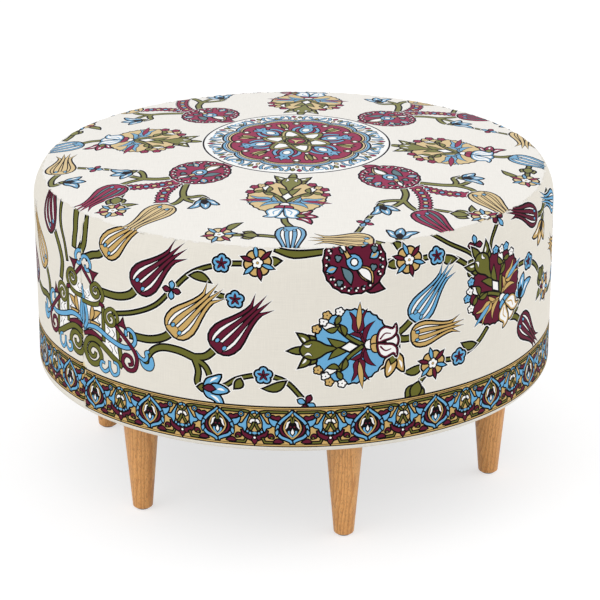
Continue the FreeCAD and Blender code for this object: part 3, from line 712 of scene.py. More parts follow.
# where things lie on the side: distance right of the front's left seam, height above the floor
sideLayout = {
    "endShift": 8.0,  # how far past its end a panel's second strapwork is centred
    "overrun": 20.0,  # how far the border and the plain hem run on past both ends
    "sizes": {"knot": 1.1, "bell": 0.92, "carnation": 0.98, "tulipWidth": 0.42,  # shares
              "rayFlower": 14, "starFlower": 9.2, "crossFlower": 10},  # radii
    "rayTurn": 12, "starTurn": 90,
    "roundFlower": (333 + 344.5j, 137),
    "carnations": [(265 + 248j, 2, "sideBlue"), (478 + 336j, -54, "sideRed")],
    "stems": [
        ([31 + 283j, 60 + 284j, 80 + 291j, 90 + 303j], 6.0),
        ([53 + 262j, 84 + 271j, 112 + 285j, 133 + 306j, 158 + 330j, 190 + 342j, 218 + 345j], 2.6),
        ([78 + 243j, 104 + 244j, 124 + 251j, 134 + 261j], 6.0),
        ([98 + 214j, 106 + 230j, 120 + 238j, 140 + 238j, 158 + 233j], (3, 5.5, 6.5)),
        ([158 + 233j, 172 + 236j, 184 + 247j], 5.5),
        ([158 + 233j, 163 + 218j, 162 + 204j, 172 + 197j], 4.5),
        ([160 + 231j, 171 + 224j, 176 + 212j, 174 + 203j], 4.0),
        ([185 + 202j, 194 + 205j, 208 + 214j, 232 + 219j, 258 + 213j, 280 + 189j], 2.6),
        ([184 + 308j, 194 + 306j, 204 + 304j], 3.4),
        ([10 + 316j, 22 + 322j, 34 + 326j, 44 + 335j], 5.5),
        ([0 + 318j, 8 + 334j, 6 + 350j, -2 + 364j], 5.5),
        ([-12 + 318j, -10 + 336j, -16 + 350j, -26 + 364j], 6.0),
        ([-28 + 298j, -34 + 320j, -48 + 344j, -64 + 364j], 2.4),
        ([-44 + 272j, -40 + 292j, -46 + 308j, -56 + 322j], 5.5),
        ([-78 + 240j, -80 + 256j, -88 + 270j], 5.0),
        ([-72 + 226j, -88 + 236j, -112 + 234j, -134 + 240j], 5.5),
        ([248 + 361j, 268 + 356j, 300 + 358j], (3, 6.5, 4)),
        ([362 + 342j, 384 + 341j], 3.4),
        ([404 + 340j, 428 + 340j, 452 + 332j, 476 + 316j], 2.8),
        ([378 + 258j, 388 + 264j, 398 + 273j], 4.5),
        ([378 + 256j, 388 + 252j, 400 + 252j], 5.0),
        ([378 + 254j, 381 + 243j, 376 + 234j], 3.4),
        ([502 + 240j, 486 + 226j, 460 + 217j, 436 + 218j], 2.8),
        ([418 + 208j, 408 + 198j, 404 + 190j], 3.0),
        ([548 + 296j, 566 + 297j, 584 + 294j, 604 + 283j, 622 + 264j, 634 + 250j], 2.8),
        ([546 + 240j, 556 + 237j, 564 + 231j], 4.5),
        ([546 + 243j, 557 + 246j, 563 + 256j], 3.6),
        ([503 + 326j, 508 + 342j, 528 + 360j], 1.3),
        ([606 + 341j, 622 + 340j, 640 + 348j, 664 + 352j], 3.2),
        ([622 + 340j, 626 + 336j, 622 + 330j], 4.0),
        ([428 + 364j, 446 + 350j, 470 + 336j, 482 + 326j], 1.7),
        ([640 + 240j, 662 + 234j, 690 + 242j], 2.6),
    ],
    "tulips": [  # base, way the tip points, ink, length
        (86 + 300j, 43, "burgundy", 82), (131 + 257j, 46, "tan", 82), (182 + 246j, 46, "burgundy", 84),
        (40 + 330j, 44, "tan", 74), (-62 + 322j, 132, "burgundy", 78), (-90 + 271j, 133, "tan", 80),
        (-132 + 240j, 136, "burgundy", 80), (400 + 272j, 50, "blue", 72), (398 + 253j, 3, "tan", 66),
        (566 + 230j, -42, "burgundy", 70), (606 + 340j, 158, "burgundy", 62), (690 + 330j, 160, "blue", 62),
        (712 + 262j, 150, "tan", 66), (742 + 205j, 40, "burgundy", 66),
    ],
    "starFlowers": [190 + 343j, 205 + 304j, 235 + 219j, 428 + 340j, 460 + 217j, 583 + 294j, 690 + 243j],
    "rayFlowers": [229 + 346j, 394 + 341j, 425 + 217j, 640 + 245j, 720 + 212j],
    "crossFlowers": [(133 + 306j, 40), (281 + 187j, 110), (481 + 341j, 40), (528 + 361j, 60)],
    "knots": [(404 + 190j, -110), (622 + 266j, -55), (478 + 318j, -45)],
    "bells": [  # base, way it points, inks of its petals and core
        (167 + 199j, 0, "blue", "burgundy"), (378 + 240j, -105, "tan", "olive"),
        (563 + 255j, 75, "blue", "dark"), (622 + 332j, -112, "tan", "dark"),
        (700 + 300j, 30, "blue", "burgundy"),
    ],
    "leaves": [  # base, way it points, length
        (156 + 326j, -12, 22), (258 + 212j, 200, 24), (452 + 332j, 160, 20), (484 + 226j, 165, 20),
        (240 + 344j, 20, 14), (412 + 217j, 190, 22), (612 + 240j, 20, 26), (210 + 213j, -120, 12),
        (384 + 342j, 190, 16), (380 + 362j, -60, 22),
    ],
}


def sideArt(length, shift):  # shift moves the border along
    art = []
    size = sideLayout["sizes"]
    for start in (0, length):
        stems = [stem([p + start for p in points], width) for points, width in sideLayout["stems"]]
        layMerged(art, sum(stems, []))
    for start in (0, length + sideLayout["endShift"]):
        lay(art, cornerPiece(), start, halo=False)
    for start in (0, length):
        for at, turn, reach in sideLayout["leaves"]:
            lay(art, sprayLeaf(reach), at + start, turn)
        for at, turn in sideLayout["knots"]:
            lay(art, knot(size["knot"]), at + start, turn)
        for at, turn, petal, core in sideLayout["bells"]:
            lay(art, bell(petal, core), at + start, turn, size["bell"])
        for at in sideLayout["rayFlowers"]:
            lay(art, rayFlower(size["rayFlower"]), at + start, sideLayout["rayTurn"])
        for at in sideLayout["starFlowers"]:
            lay(art, starFlower(size["starFlower"]), at + start, sideLayout["starTurn"])
        for at, turn in sideLayout["crossFlowers"]:
            lay(art, crossFlower(size["crossFlower"]), at + start, turn)
        for at, turn, ink, reach in sideLayout["tulips"]:
            lay(art, tulip(ink, reach, size["tulipWidth"] * reach), at + start, turn)
        at, turn = sideLayout["roundFlower"]
        lay(art, roundFlower(), at + start, turn)
        for at, turn, colours in sideLayout["carnations"]:
            lay(art, carnation(carnationInks[colours]), at + start, turn, size["carnation"])
    return art + borderArt(-sideLayout["overrun"], length + sideLayout["overrun"], shift)


# the top's print: a medallion, and one quarter of the rest, turned to four places
topLayout = {  # front right quarter, about the medallion
    "centre": 3 + 36.5j, "pull": 1.088,  # the print lies off the middle and is drawn out front to back
    "carnations": [  # tip's bearing and distance, heading, and how far its tulip leans
        (-4.5, 110, -10.5, -23), (87.7, 110, 83, 7), (177.5, 114, 166.5, 38), (268.5, 111.5, 263.5, 6),
    ],
    "quarters": [(0, 1.0, 4), (90, 0.96, -25), (180, 1.0, 0), (270, 0.955, 28)],  # turn, size, tulips' lean
    "stems": [
        ([138 - 128j, 162 - 131j, 177 - 130j], 5.0),
        ([177 - 130j, 192 - 136.5j, 200 - 145.7j], 4.0),
        ([177 - 130j, 179 - 121j, 177 - 110j, 185 - 103.4j], 4.0),
        ([177 - 130j, 187 - 125j, 194 - 116j], 3.6),
        ([119 - 145.7j, 121 - 162j, 118 - 179j], 5.0),
        ([118 - 179j, 105 - 180.6j, 94 - 185j, 90 - 194j], 4.0),
        ([118 - 179j, 124 - 194j, 132 - 206j], 4.0),
        ([118 - 179j, 110 - 191.6j, 105 - 197j], 3.6),
        ([85 - 212.8j, 77 - 231j, 67 - 258.7j, 62 - 268.8j], 2.8),
        ([147 - 199j, 177 - 206j, 203 - 212j], 3.0),
        ([81 - 283j, 100 - 290j, 118 - 288j, 112 - 278j], 4.0),
    ],
    "tails": [
        [129 - 136.5j, 147 - 145.7j, 167 - 154j, 190 - 155j],
        [132 - 139j, 140 - 162j, 142 - 185j, 140 - 206j],
    ],
    "tulips": [  # base, way the tip points, ink, length, ink of the slivers
        (200 - 145.7j, -65, "tan", 80, "tan"), (134 - 205.4j, -63, "burgundy", 78, "slate"),
        (81 - 283.5j, 177, "tan", 66, "tan"),
    ],
    "tulipWidth": 33,
    "bells": [(186 - 107j, 10), (92 - 194j, -70), (110 - 276j, 85)],
    "bellSize": 0.78,
    "others": [  # motif, place, turn
        (crossFlower(9), 74 - 240.3j, 20), (knot(1.0), 177 - 208j, -5), (sprayLeaf(24, 7), 200 - 208j, 109),
        (rayFlower(14), 205 - 210j, 10), (roundFlower(), 104.5 - 113.5j, -45),
    ],
}


def carnationGroup(lean):  # the carnation and what grows from it, pointing along +x
    group = stem([118 + 3j, 130 + 6j, 140 + 13j], 4.6)
    group += stem([165 + 2j, 163 - 12j, 163 - 30j, 164 - 50j], 3.4)
    group += moved(tulip("blue", 74, 31), 140 + 13j, lean)
    group += moved(knot(0.85), 163 - 27j, 270)
    group += moved(sprayLeaf(22, 7), 154 - 53j, 148)
    group += moved(rayFlower(14), 164 - 61j, 15)
    group += stem([112 + 4j, 115 + 10j, 113 + 17j], 4.2)
    group += moved(bell("burgundy", "olive"), 113 + 14j, 92, 0.75)
    return group + carnation(carnationInks["top"])


def topArt():
    art = []
    for bearing, reach, heading, lean in topLayout["carnations"]:
        lay(art, carnationGroup(lean), ray(bearing, reach), heading)
    for turn, size, lean in topLayout["quarters"]:
        way = ray(turn, size)
        stems = [stem([way * p for p in points], width) for points, width in topLayout["stems"]]
        layMerged(art, sum(stems, []))
        for points in topLayout["tails"]:
            lay(art, tail([way * p for p in points]))
        for at, aim, ink, long, sliver in topLayout["tulips"]:
            leaned = lean if aim < 0 else 0
            lay(art, tulip(ink, long, topLayout["tulipWidth"], sliver), way * at, turn + aim + leaned)
        for at, aim in topLayout["bells"]:
            lay(art, bell("blue", "dark"), way * at, turn + aim, topLayout["bellSize"])
        for motif, at, aim in topLayout["others"]:
            lay(art, motif, way * at, turn + aim)
    lay(art, medallion())
    centre, pull = topLayout["centre"], topLayout["pull"]
    return [(ink, centre + shape.real + 1j * pull * shape.imag) for ink, shape in art]


# cover panels: flat cloth with its print, cut, then wrapped over the pouf
drum = {
    "shoulderHeight": 0.030, "bottomRound": 0.008, "hemWidth": 0.030, "allowance": 0.006,
    "seamRoll": 0.0006, "seamTurn": 110.0,  # radius of the cloth's edge at a seam, and degrees it turns in
    "seamBearing": -141.0,  # where the front panel's left edge is
    "endRound": 1.6,  # mm over which a side panel bends into its upright seams
    "gridStep": 9.0, "seamStep": 4.5,  # mm between the plain points of the cloth
    "repeatSlip": -9.5 + 4.5j,  # mm: the back's border lies along by it, and its print higher
    "uneven": 0.00022, "calm": 30.0, "hemCalm": 20.0,  # m that the cloth strays, mm at its edges where less
    "gather": 0.00016, "gatherReach": 9.0, "gatherPast": 2.0, "uprightShare": 0.7,  # puckers at the seams
    "bakeGap": 0.01,  # share of a panel that stays free about it in its picture
}
sideLow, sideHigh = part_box("side_cover_front")
topLow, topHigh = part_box("top_cover")
drum["radius"] = (cadBox[1][0] - cadBox[0][0]) / 2
drum["seamRadius"] = (topHigh.x - topLow.x) / 2
drum["seamZ"] = sideHigh.z
drum["crownZ"] = topHigh.z
drum["hemZ"] = sideLow.z


def followRuns(start, heading, runs):  # runs are (length, turn), a line or an arc each, in m and radians
    begins, points, headings = [0.0], [start], [heading]
    for length, turn in runs:
        step = length * (np.exp(1j * turn) - 1) / (1j * turn) if turn else length
        points.append(points[-1] + step * np.exp(1j * headings[-1]))
        headings.append(headings[-1] + turn)
        begins.append(begins[-1] + length)

    def place(distance):
        which = np.clip(np.searchsorted(begins, distance, "right") - 1, 0, len(runs) - 1)
        spot = np.zeros(len(distance), complex)
        way = np.zeros(len(distance))
        for i, (length, turn) in enumerate(runs):
            here = which == i
            d = distance[here] - begins[i]
            bent = d * turn / length
            step = d if not turn else length * (np.exp(1j * bent) - 1) / (1j * turn)
            spot[here] = points[i] + step * np.exp(1j * headings[i])
            way[here] = headings[i] + bent
        return spot, way

    return place, begins


def sectionOfTop():
    sag = drum["crownZ"] - drum["seamZ"]
    radius = (drum["seamRadius"] ** 2 + sag**2) / (2 * sag)
    fall = math.asin(drum["seamRadius"] / radius)
    roll = math.radians(drum["seamTurn"])
    runs = [(radius * fall, -fall), (drum["seamRoll"] * roll, -roll), (drum["allowance"], 0.0)]
    return followRuns(1j * drum["crownZ"], 0.0, runs)


def sectionOfSide():
    inset = drum["radius"] - drum["seamRadius"]
    rise = drum["shoulderHeight"]
    radius = (inset**2 + rise**2) / (2 * inset)
    lean = math.asin(rise / radius)
    roll = math.radians(drum["seamTurn"])
    wall = drum["seamZ"] - rise - drum["hemZ"] - drum["bottomRound"]
    quarter = math.pi / 2
    runs = [(drum["hemWidth"], 0.0), (drum["bottomRound"] * quarter, quarter), (wall, 0.0),
            (radius * lean, lean), (drum["seamRoll"] * roll, roll), (drum["allowance"], 0.0)]
    start = drum["radius"] - drum["bottomRound"] - drum["hemWidth"] + 1j * drum["hemZ"]
    return followRuns(start, 0.0, runs)


def inside(points, shape):  # true for each point that a closed outline winds about
    a, b = shape, np.roll(shape, -1)
    up = (a.imag[:, None] <= points.imag) & (b.imag[:, None] > points.imag)
    down = (a.imag[:, None] > points.imag) & (b.imag[:, None] <= points.imag)
    left = ((b - a).real[:, None] * (points.imag - a.imag[:, None])
            - (points.real - a.real[:, None]) * (b - a).imag[:, None])
    return ((up & (left > 0)).sum(0) - (down & (left < 0)).sum(0)) != 0


def divided(shape, step):  # more points on long straight edges, so that they bend with the cloth
    ahead = np.roll(shape, -1)
    counts = np.maximum(1, np.ceil(np.abs(ahead - shape) / step)).astype(int)
    return np.concatenate([a + (b - a) * np.arange(n) / n for a, b, n in zip(shape, ahead, counts)])


def cutPrint(art, rim, loose, fold):  # flat triangles that keep to every printed edge, and the ink of each
    margin = 2 + 2j
    low = rim.real.min() + 1j * rim.imag.min() - margin
    high = rim.real.max() + 1j * rim.imag.max() + margin
    kept = []
    for ink, shape in art:
        if shape.real.max() < low.real or shape.real.min() > high.real:
            continue
        if shape.imag.max() < low.imag or shape.imag.min() > high.imag:
            continue
        kept.append((inkNumber[ink], divided(shape, drum["gridStep"])))
    loops = [rim] + [shape for ink, shape in kept]
    points = np.concatenate(loops + [np.array(fold, complex), loose])
    edges, first = [], 0
    for loop in loops:
        last = first + len(loop)
        edges += [(i, i + 1 if i + 1 < last else first) for i in range(first, last)]
        first = last
    edges += [(i, i + 1) for i in range(first, first + len(fold) - 1)]
    flat = [Vector((z.real, z.imag)) for z in points]
    verts, _, faces, _, _, _ = delaunay_2d_cdt(flat, edges, [], 0, 1e-3, False)
    spots = np.array([complex(v.x, v.y) for v in verts])
    tris = np.array(faces)
    corners = spots[tris]
    area = ((corners[:, 1] - corners[:, 0]).conj() * (corners[:, 2] - corners[:, 0])).imag / 2
    middle = corners.mean(1)
    keep = (area > 1e-6) & inside(middle, rim)
    tris, middle = tris[keep], middle[keep]
    order = np.argsort(middle.real)
    tris, middle = tris[order], middle[order]
    colour = np.zeros(len(tris), np.float32)
    for number, shape in kept:
        a = np.searchsorted(middle.real, shape.real.min())
        b = np.searchsorted(middle.real, shape.real.max())
        height = middle[a:b].imag
        near = a + np.nonzero((height >= shape.imag.min()) & (height <= shape.imag.max()))[0]
        if len(near):
            colour[near[inside(middle[near], shape)]] = number
    return spots, tris, colour


def wrapPanel(name, art, rim, loose, wrap, bakePlace, fold=()):
    spots, tris, colour = cutPrint(art, rim, loose, fold)
    used, tris = np.unique(tris, return_inverse=True)
    tris = tris.reshape(-1, 3)
    spots = spots[used]
    nudge = 0.02  # mm, to feel the slope of the cloth
    here = wrap(spots)
    across = wrap(spots + nudge) - wrap(spots - nudge)
    upwards = wrap(spots + 1j * nudge) - wrap(spots - 1j * nudge)
    normal = np.cross(across, upwards)
    normal /= np.linalg.norm(normal, axis=1)[:, None]
    mesh = bpy.data.meshes.new(name)
    mesh.from_pydata(here.tolist(), [], tris.tolist())
    mesh.attributes.new("ink", "FLOAT", "FACE").data.foreach_set("value", colour)
    corner = spots[tris.ravel()]
    cloth = mesh.uv_layers.new(name="cloth")  # metres along the cloth
    cloth.data.foreach_set("uv", np.stack([corner.real, corner.imag], 1).ravel().astype(np.float32) / 1000)
    bake = mesh.uv_layers.new(name="OFBake")
    middle = spots[tris].mean(1).repeat(3)
    bake.data.foreach_set("uv", bakePlace(corner, middle).ravel().astype(np.float32))
    mesh.uv_layers.active = cloth
    mesh.shade_smooth()
    mesh.normals_split_custom_set_from_vertices(normal.tolist())
    obj = bpy.data.objects.new(name, mesh)
    scene.collection.objects.link(obj)
    print("panel", name, len(tris), "triangles")
    return obj


def ease(along, up):  # slight unevenness of stretched cloth, in metres
    slow = np.sin(along / 61 + 0.7) * np.sin(up / 47 + along / 133)
    quick = 0.6 * np.sin(along / 29 + 2.1 + up / 83)
    return drum["uneven"] * (slow + quick)


def pucker(along, fromSeam):  # small gathers that die out away from a seam, in metres
    ripple = np.sin(along / 2.9) + 0.7 * np.sin(along / 1.83 + 1.1) + 0.6 * np.sin(along / 4.7 + 2.6)
    return drum["gather"] * ripple * np.exp(-np.maximum(fromSeam, 0) / drum["gatherReach"])


def ringsOf(spans):  # loose points on rings, each a radius and a step in mm
    rings = []
    for reach, step in spans:
        count = max(6, int(2 * math.pi * reach / step))
        rings.append(reach * np.exp(2j * math.pi * (np.arange(count) + 0.5 * (len(rings) % 2)) / count))
    return np.concatenate([[0j]] + rings)


def discPlace(edge):  # a round panel's place in its own picture
    def bakePlace(corner, middle):
        return np.stack([corner.real, corner.imag], 1) / (2 * (1 + drum["bakeGap"]) * edge) + 0.5

    return bakePlace


def addTopPanel():
    place, begins = sectionOfTop()
    seam, edge = begins[1] * 1000, begins[-1] * 1000

    def wrap(spots):
        reach = np.abs(spots)
        spot, way = place(reach / 1000)
        around = np.exp(1j * np.angle(spots))
        lift = ease(spots.real, spots.imag) * np.clip((seam - reach) / drum["calm"], 0, 1)
        lift += pucker(np.angle(spots) * seam, seam - reach) * (reach < seam + drum["gatherPast"])
        radius = spot.real - np.sin(way) * lift
        flat = around * radius
        return np.stack([flat.real, flat.imag, spot.imag + np.cos(way) * lift], 1)

    spans = [(reach, drum["gridStep"]) for reach in np.arange(drum["gridStep"], seam - 4, drum["gridStep"])]
    spans += [(seam + past, drum["seamStep"]) for past in (-2.5, 0, 0.8, 1.6)]
    rim = disc(0, edge, 420)
    panel = wrapPanel("topPanel", topArt(), rim, ringsOf(spans), wrap, discPlace(edge))
    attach(panel, "root")
    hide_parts("top_cover")
    return panel


def addSidePanel(name, node, bearing, slip):
    place, begins = sectionOfSide()
    length = math.pi * drum["radius"] * 1000
    heights = [b * 1000 for b in begins]
    lowest = drum["hemZ"] * 1000 + drum["bottomRound"] * 1000 - heights[2]  # the hem's inner edge
    seam = heights[4]
    tuck = drum["allowance"] * 1000
    bend = drum["endRound"]
    phase = 300 * bearing  # so that the two panels differ
    gap = drum["bakeGap"]

    def wrap(spots):
        along, up = spots.real, spots.imag - lowest
        spot, way = place(up / 1000)
        inEnd = np.maximum(np.maximum(-along, along - length), 0)
        toEnd = np.clip(np.minimum(along, length - along), 0, bend)
        turn = np.exp(1j * (math.radians(bearing) + np.clip(along, 0, length) / length * math.pi))
        free = np.clip((up - heights[1]) / drum["hemCalm"], 0, 1)
        lift = ease(along + phase, up) * np.clip((seam - up) / drum["calm"], 0, 1) * free
        lift += pucker(along, seam - up) * (up < seam + drum["gatherPast"])
        lift += pucker(up, np.minimum(along, length - along)) * drum["uprightShare"] * free
        lift -= (inEnd + (bend - toEnd) ** 2 / (2 * bend)) / 1000
        radius = spot.real + np.sin(way) * lift
        flat = turn * radius
        return np.stack([flat.real, flat.imag, spot.imag - np.cos(way) * lift], 1)

    columns = np.concatenate([[-2, 0, 0.8, 1.6], np.arange(5, length - 4, drum["gridStep"]),
                              [length / 2], length - np.array([1.6, 0.8, 0, -2])])
    rows = list(np.linspace(heights[0] + 8, heights[1], 3))
    rows += list(np.linspace(heights[1], heights[2], 6)[1:])
    rows += list(np.arange(heights[2] + drum["gridStep"], heights[3], drum["gridStep"]))
    rows += list(np.linspace(heights[3], seam, 8)) + [seam + 0.8, seam + 1.6, seam + 3.5]
    loose = (columns[None, :] + 1j * (lowest + np.array(rows))[:, None]).ravel()
    low, high = lowest, lowest + heights[-1]
    across = np.linspace(-tuck, length + tuck, 160)
    upwards = np.linspace(low, high, 40)
    rim = np.concatenate([across + 1j * low, across[-1] + 1j * upwards[1:-1], across[::-1] + 1j * high,
                          across[0] + 1j * upwards[-2:0:-1]])
    middleLine = length / 2 + 1j * np.linspace(low - 5, high + 5, 60)

    def bakePlace(corner, middle):  # the two halves lie one above the other
        second = middle.real > length / 2
        along = corner.real - np.where(second, length / 2, -tuck)
        up = corner.imag - low + np.where(second, (1 + gap) * (high - low), 0)
        return np.stack([along, up], 1) / ((1 + 2 * gap) * max(length / 2 + tuck, (2 + gap) * (high - low)))

    art = [(ink, shape + 1j * slip.imag) for ink, shape in sideArt(length, slip.real)]
    hem = border["low"] - 1.2 + slip.imag
    left, right = -sideLayout["overrun"], length + sideLayout["overrun"]
    hemCorners = [left + 1j * (low - 5), right + 1j * (low - 5), right + 1j * hem, left + 1j * hem]
    art.append(("ground", np.array(hemCorners)))
    panel = wrapPanel(name, art, rim, loose, wrap, bakePlace, middleLine)
    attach(panel, "root")
    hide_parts(node)
    return panel


panels = [
    addTopPanel(),
    addSidePanel("sidePanelFront", "side_cover_front", drum["seamBearing"], 0j),
    addSidePanel("sidePanelBack", "side_cover_back", drum["seamBearing"] + 180, drum["repeatSlip"]),
]
print("cover: printed and wrapped")


dustCover = {
    "sag": 0.0035, "turnUnder": 0.010, "ruck": 0.0005, "step": 12.0,
    "insideHem": 0.004, "ramp": 0.005, "bend": 0.001, "fold": 0.0008,  # step over the hem, turned edge
    "flatAtLeg": 20.0, "easing": 60.0,  # mm about a leg that lie flat, and mm over which the sag begins
}


def addDustSheet():  # non-woven cloth under the base, stapled over the hem and held up by the legs
    low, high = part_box("dust_cover")
    reach = (high.x - low.x) / 2
    legs = [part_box(name) for name in nodes if name.startswith("leg_") and name[4:].isdigit()]
    tops = [complex((a.x + b.x) / 2, (a.y + b.y) / 2) * 1000 for a, b in legs]
    face = legs[0][1].z  # the legs' tops press the cloth against the base
    inner = drum["radius"] - drum["bottomRound"] - drum["hemWidth"] - dustCover["insideHem"]
    drop = face - low.z
    wide, bend = dustCover["ramp"], dustCover["bend"]
    slope = math.atan2(drop, wide)
    runs = [(inner, 0.0), (bend, -slope), (math.hypot(drop, wide) - 2 * bend, 0.0), (bend, slope),
            (reach - inner - wide - bend, 0.0), (dustCover["fold"] * math.pi, math.pi),
            (dustCover["turnUnder"], 0.0)]
    place, begins = followRuns(1j * face, 0.0, runs)
    edge = begins[-1] * 1000
    easing = dustCover["easing"]

    def wrap(spots):
        spots = np.conj(spots)  # seen from below
        far = np.abs(spots)
        spot, way = place(far / 1000)
        held = np.ones(len(spots))
        for top in tops:
            held = np.minimum(held, np.clip((np.abs(spots - top) - dustCover["flatAtLeg"]) / easing, 0, 1))
        held = np.minimum(held, np.clip((inner * 1000 - far) / easing, 0, 1))
        held = held * held * (3 - 2 * held)
        ruck = dustCover["ruck"] * np.sin(9 * np.angle(spots) + far / 40) * np.clip(far / 100, 0, 1)
        flat = np.exp(1j * np.angle(spots)) * spot.real
        return np.stack([flat.real, flat.imag, spot.imag - held * (dustCover["sag"] + ruck)], 1)

    reaches = list(np.arange(dustCover["step"], inner * 1000, dustCover["step"]))
    reaches += [b * 1000 for b in begins[1:-1]] + [edge - 5, begins[5] * 1000 + 1.2]
    loose = ringsOf([(far, dustCover["step"]) for far in reaches])
    sheet = wrapPanel("dustCover", [], disc(0, edge, 180), loose, wrap, discPlace(edge))
    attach(sheet, "root")
    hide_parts("dust_cover")
    return sheet


dustSheet = addDustSheet()
print("underside: dust cover stretched")


# finishes
def newFinish(name, roughness, metallic=0.0):
    mat = bpy.data.materials.new(name)
    mat.use_nodes = True
    shader = mat.node_tree.nodes["Principled BSDF"]
    shader.inputs["Roughness"].default_value = roughness
    shader.inputs["Metallic"].default_value = metallic
    return mat, mat.node_tree, shader


def noise(tree, place, stretch, detail, roughness=0.55):
    spread = addNode(tree, "ShaderNodeMapping", {"Vector": place, "Scale": stretch})
    grainy = {"Vector": spread.outputs[0], "Scale": 1.0, "Detail": detail, "Roughness": roughness}
    return addNode(tree, "ShaderNodeTexNoise", grainy).outputs["Fac"]


def ramp(tree, value, stops):  # stops are (position, colour 0 to 255)
    node = addNode(tree, "ShaderNodeValToRGB", {"Fac": value})
    marks = node.color_ramp.elements
    while len(marks) < len(stops):
        marks.new(0.5)
    for mark, (position, colour) in zip(marks, stops):
        mark.position = position
        mark.color = srgb(*colour)
    return node


def bumped(tree, shader, height, strength, distance):
    node = addNode(tree, "ShaderNodeBump", {"Height": height, "Strength": strength, "Distance": distance})
    tree.links.new(node.outputs[0], shader.inputs["Normal"])


def newGroup(name, inputs, outputs):
    tree = bpy.data.node_groups.new(name, "ShaderNodeTree")
    for label, kind in inputs:
        tree.interface.new_socket(label, in_out="INPUT", socket_type=kind)
    for label, kind in outputs:
        tree.interface.new_socket(label, in_out="OUTPUT", socket_type=kind)
    return tree, tree.nodes.new("NodeGroupInput").outputs, tree.nodes.new("NodeGroupOutput").inputs


def makeWeave():  # plain weave: height of the threads, and how each thread's shade wanders
    inputs = [("Place", "NodeSocketVector"), ("Thread", "NodeSocketFloat")]
    outputs = [("Height", "NodeSocketFloat"), ("Shade", "NodeSocketFloat")]
    tree, given, out = newGroup("plainWeave", inputs, outputs)
    perThread = sums(tree, "DIVIDE", 1.0, given["Thread"])
    counted = addNode(tree, "ShaderNodeVectorMath", operation="SCALE")
    tree.links.new(given["Place"], counted.inputs[0])
    tree.links.new(perThread, counted.inputs["Scale"])
    split = addNode(tree, "ShaderNodeSeparateXYZ", [counted.outputs[0]])
    waves = [sums(tree, "SINE", sums(tree, "MULTIPLY", split.outputs[i], math.pi)) for i in (0, 1)]
    crossing = sums(tree, "MULTIPLY", *waves)
    lengthwise = [(0.9, 0.025, 1), (0.025, 0.9, 1)]  # warp and weft
    slubs = [noise(tree, counted.outputs[0], stretch, 2.0) for stretch in lengthwise]
    wander = sums(tree, "ADD", *slubs)
    tree.links.new(sums(tree, "MULTIPLY_ADD", crossing, 0.5, wander), out["Height"])
    tree.links.new(wander, out["Shade"])
    return tree


weave = makeWeave()
clothFinish = {
    "thread": 0.0006, "bump": 0.25, "slub": (0.93, 1.05),  # slub: how far a thread's shade wanders
    "roughness": 0.85, "specular": 0.12, "sheen": 0.05, "sheenRoughness": 0.4,
}


def printedCloth(name, panel):
    mat, tree, shader = newFinish(name, clothFinish["roughness"])
    shader.inputs["Specular IOR Level"].default_value = clothFinish["specular"]
    shader.inputs["Sheen Weight"].default_value = clothFinish["sheen"]
    shader.inputs["Sheen Roughness"].default_value = clothFinish["sheenRoughness"]
    ink = addNode(tree, "ShaderNodeAttribute", attribute_name="ink")
    step = 1 / len(inks)
    share = sums(tree, "MULTIPLY_ADD", ink.outputs["Fac"], step, step / 2)
    # the top's palette is painted paler than the side's: painted light for the stronger light on the top
    palette = ramp(tree, share, [(i * step, shades[panel]) for i, shades in enumerate(inks.values())])
    palette.color_ramp.interpolation = "CONSTANT"
    place = addNode(tree, "ShaderNodeUVMap", uv_map="cloth")
    threads = addNode(tree, "ShaderNodeGroup", node_tree=weave)
    feed(tree, threads.inputs["Place"], place.outputs[0])
    feed(tree, threads.inputs["Thread"], clothFinish["thread"])
    shade = remap(tree, threads.outputs["Shade"], (0.6, 1.4), clothFinish["slub"])
    colour = blended(tree, "MULTIPLY", 1.0, palette.outputs["Color"], shade)
    tree.links.new(colour, shader.inputs["Base Color"])
    bumped(tree, shader, threads.outputs["Height"], clothFinish["bump"], clothFinish["thread"] * 0.3)
    return mat


legWood = {
    "rings": 0.0042, "stray": 0.016,  # a year ring's width, and how far it strays
    "heart": (0.35, 0.12, 0.0), "tilt": (9.0, -7.0, 0.0),  # the rings' axis: place, and lean in degrees
    "pale": (232, 171, 101), "honey": (226, 162, 92), "late": (208, 142, 76), "pore": (150, 96, 52),
    "fibreShade": (0.74, 1.14), "poreShare": 0.55,
    "roughness": 0.45, "coat": 0.10, "coatRoughness": 0.35,
}


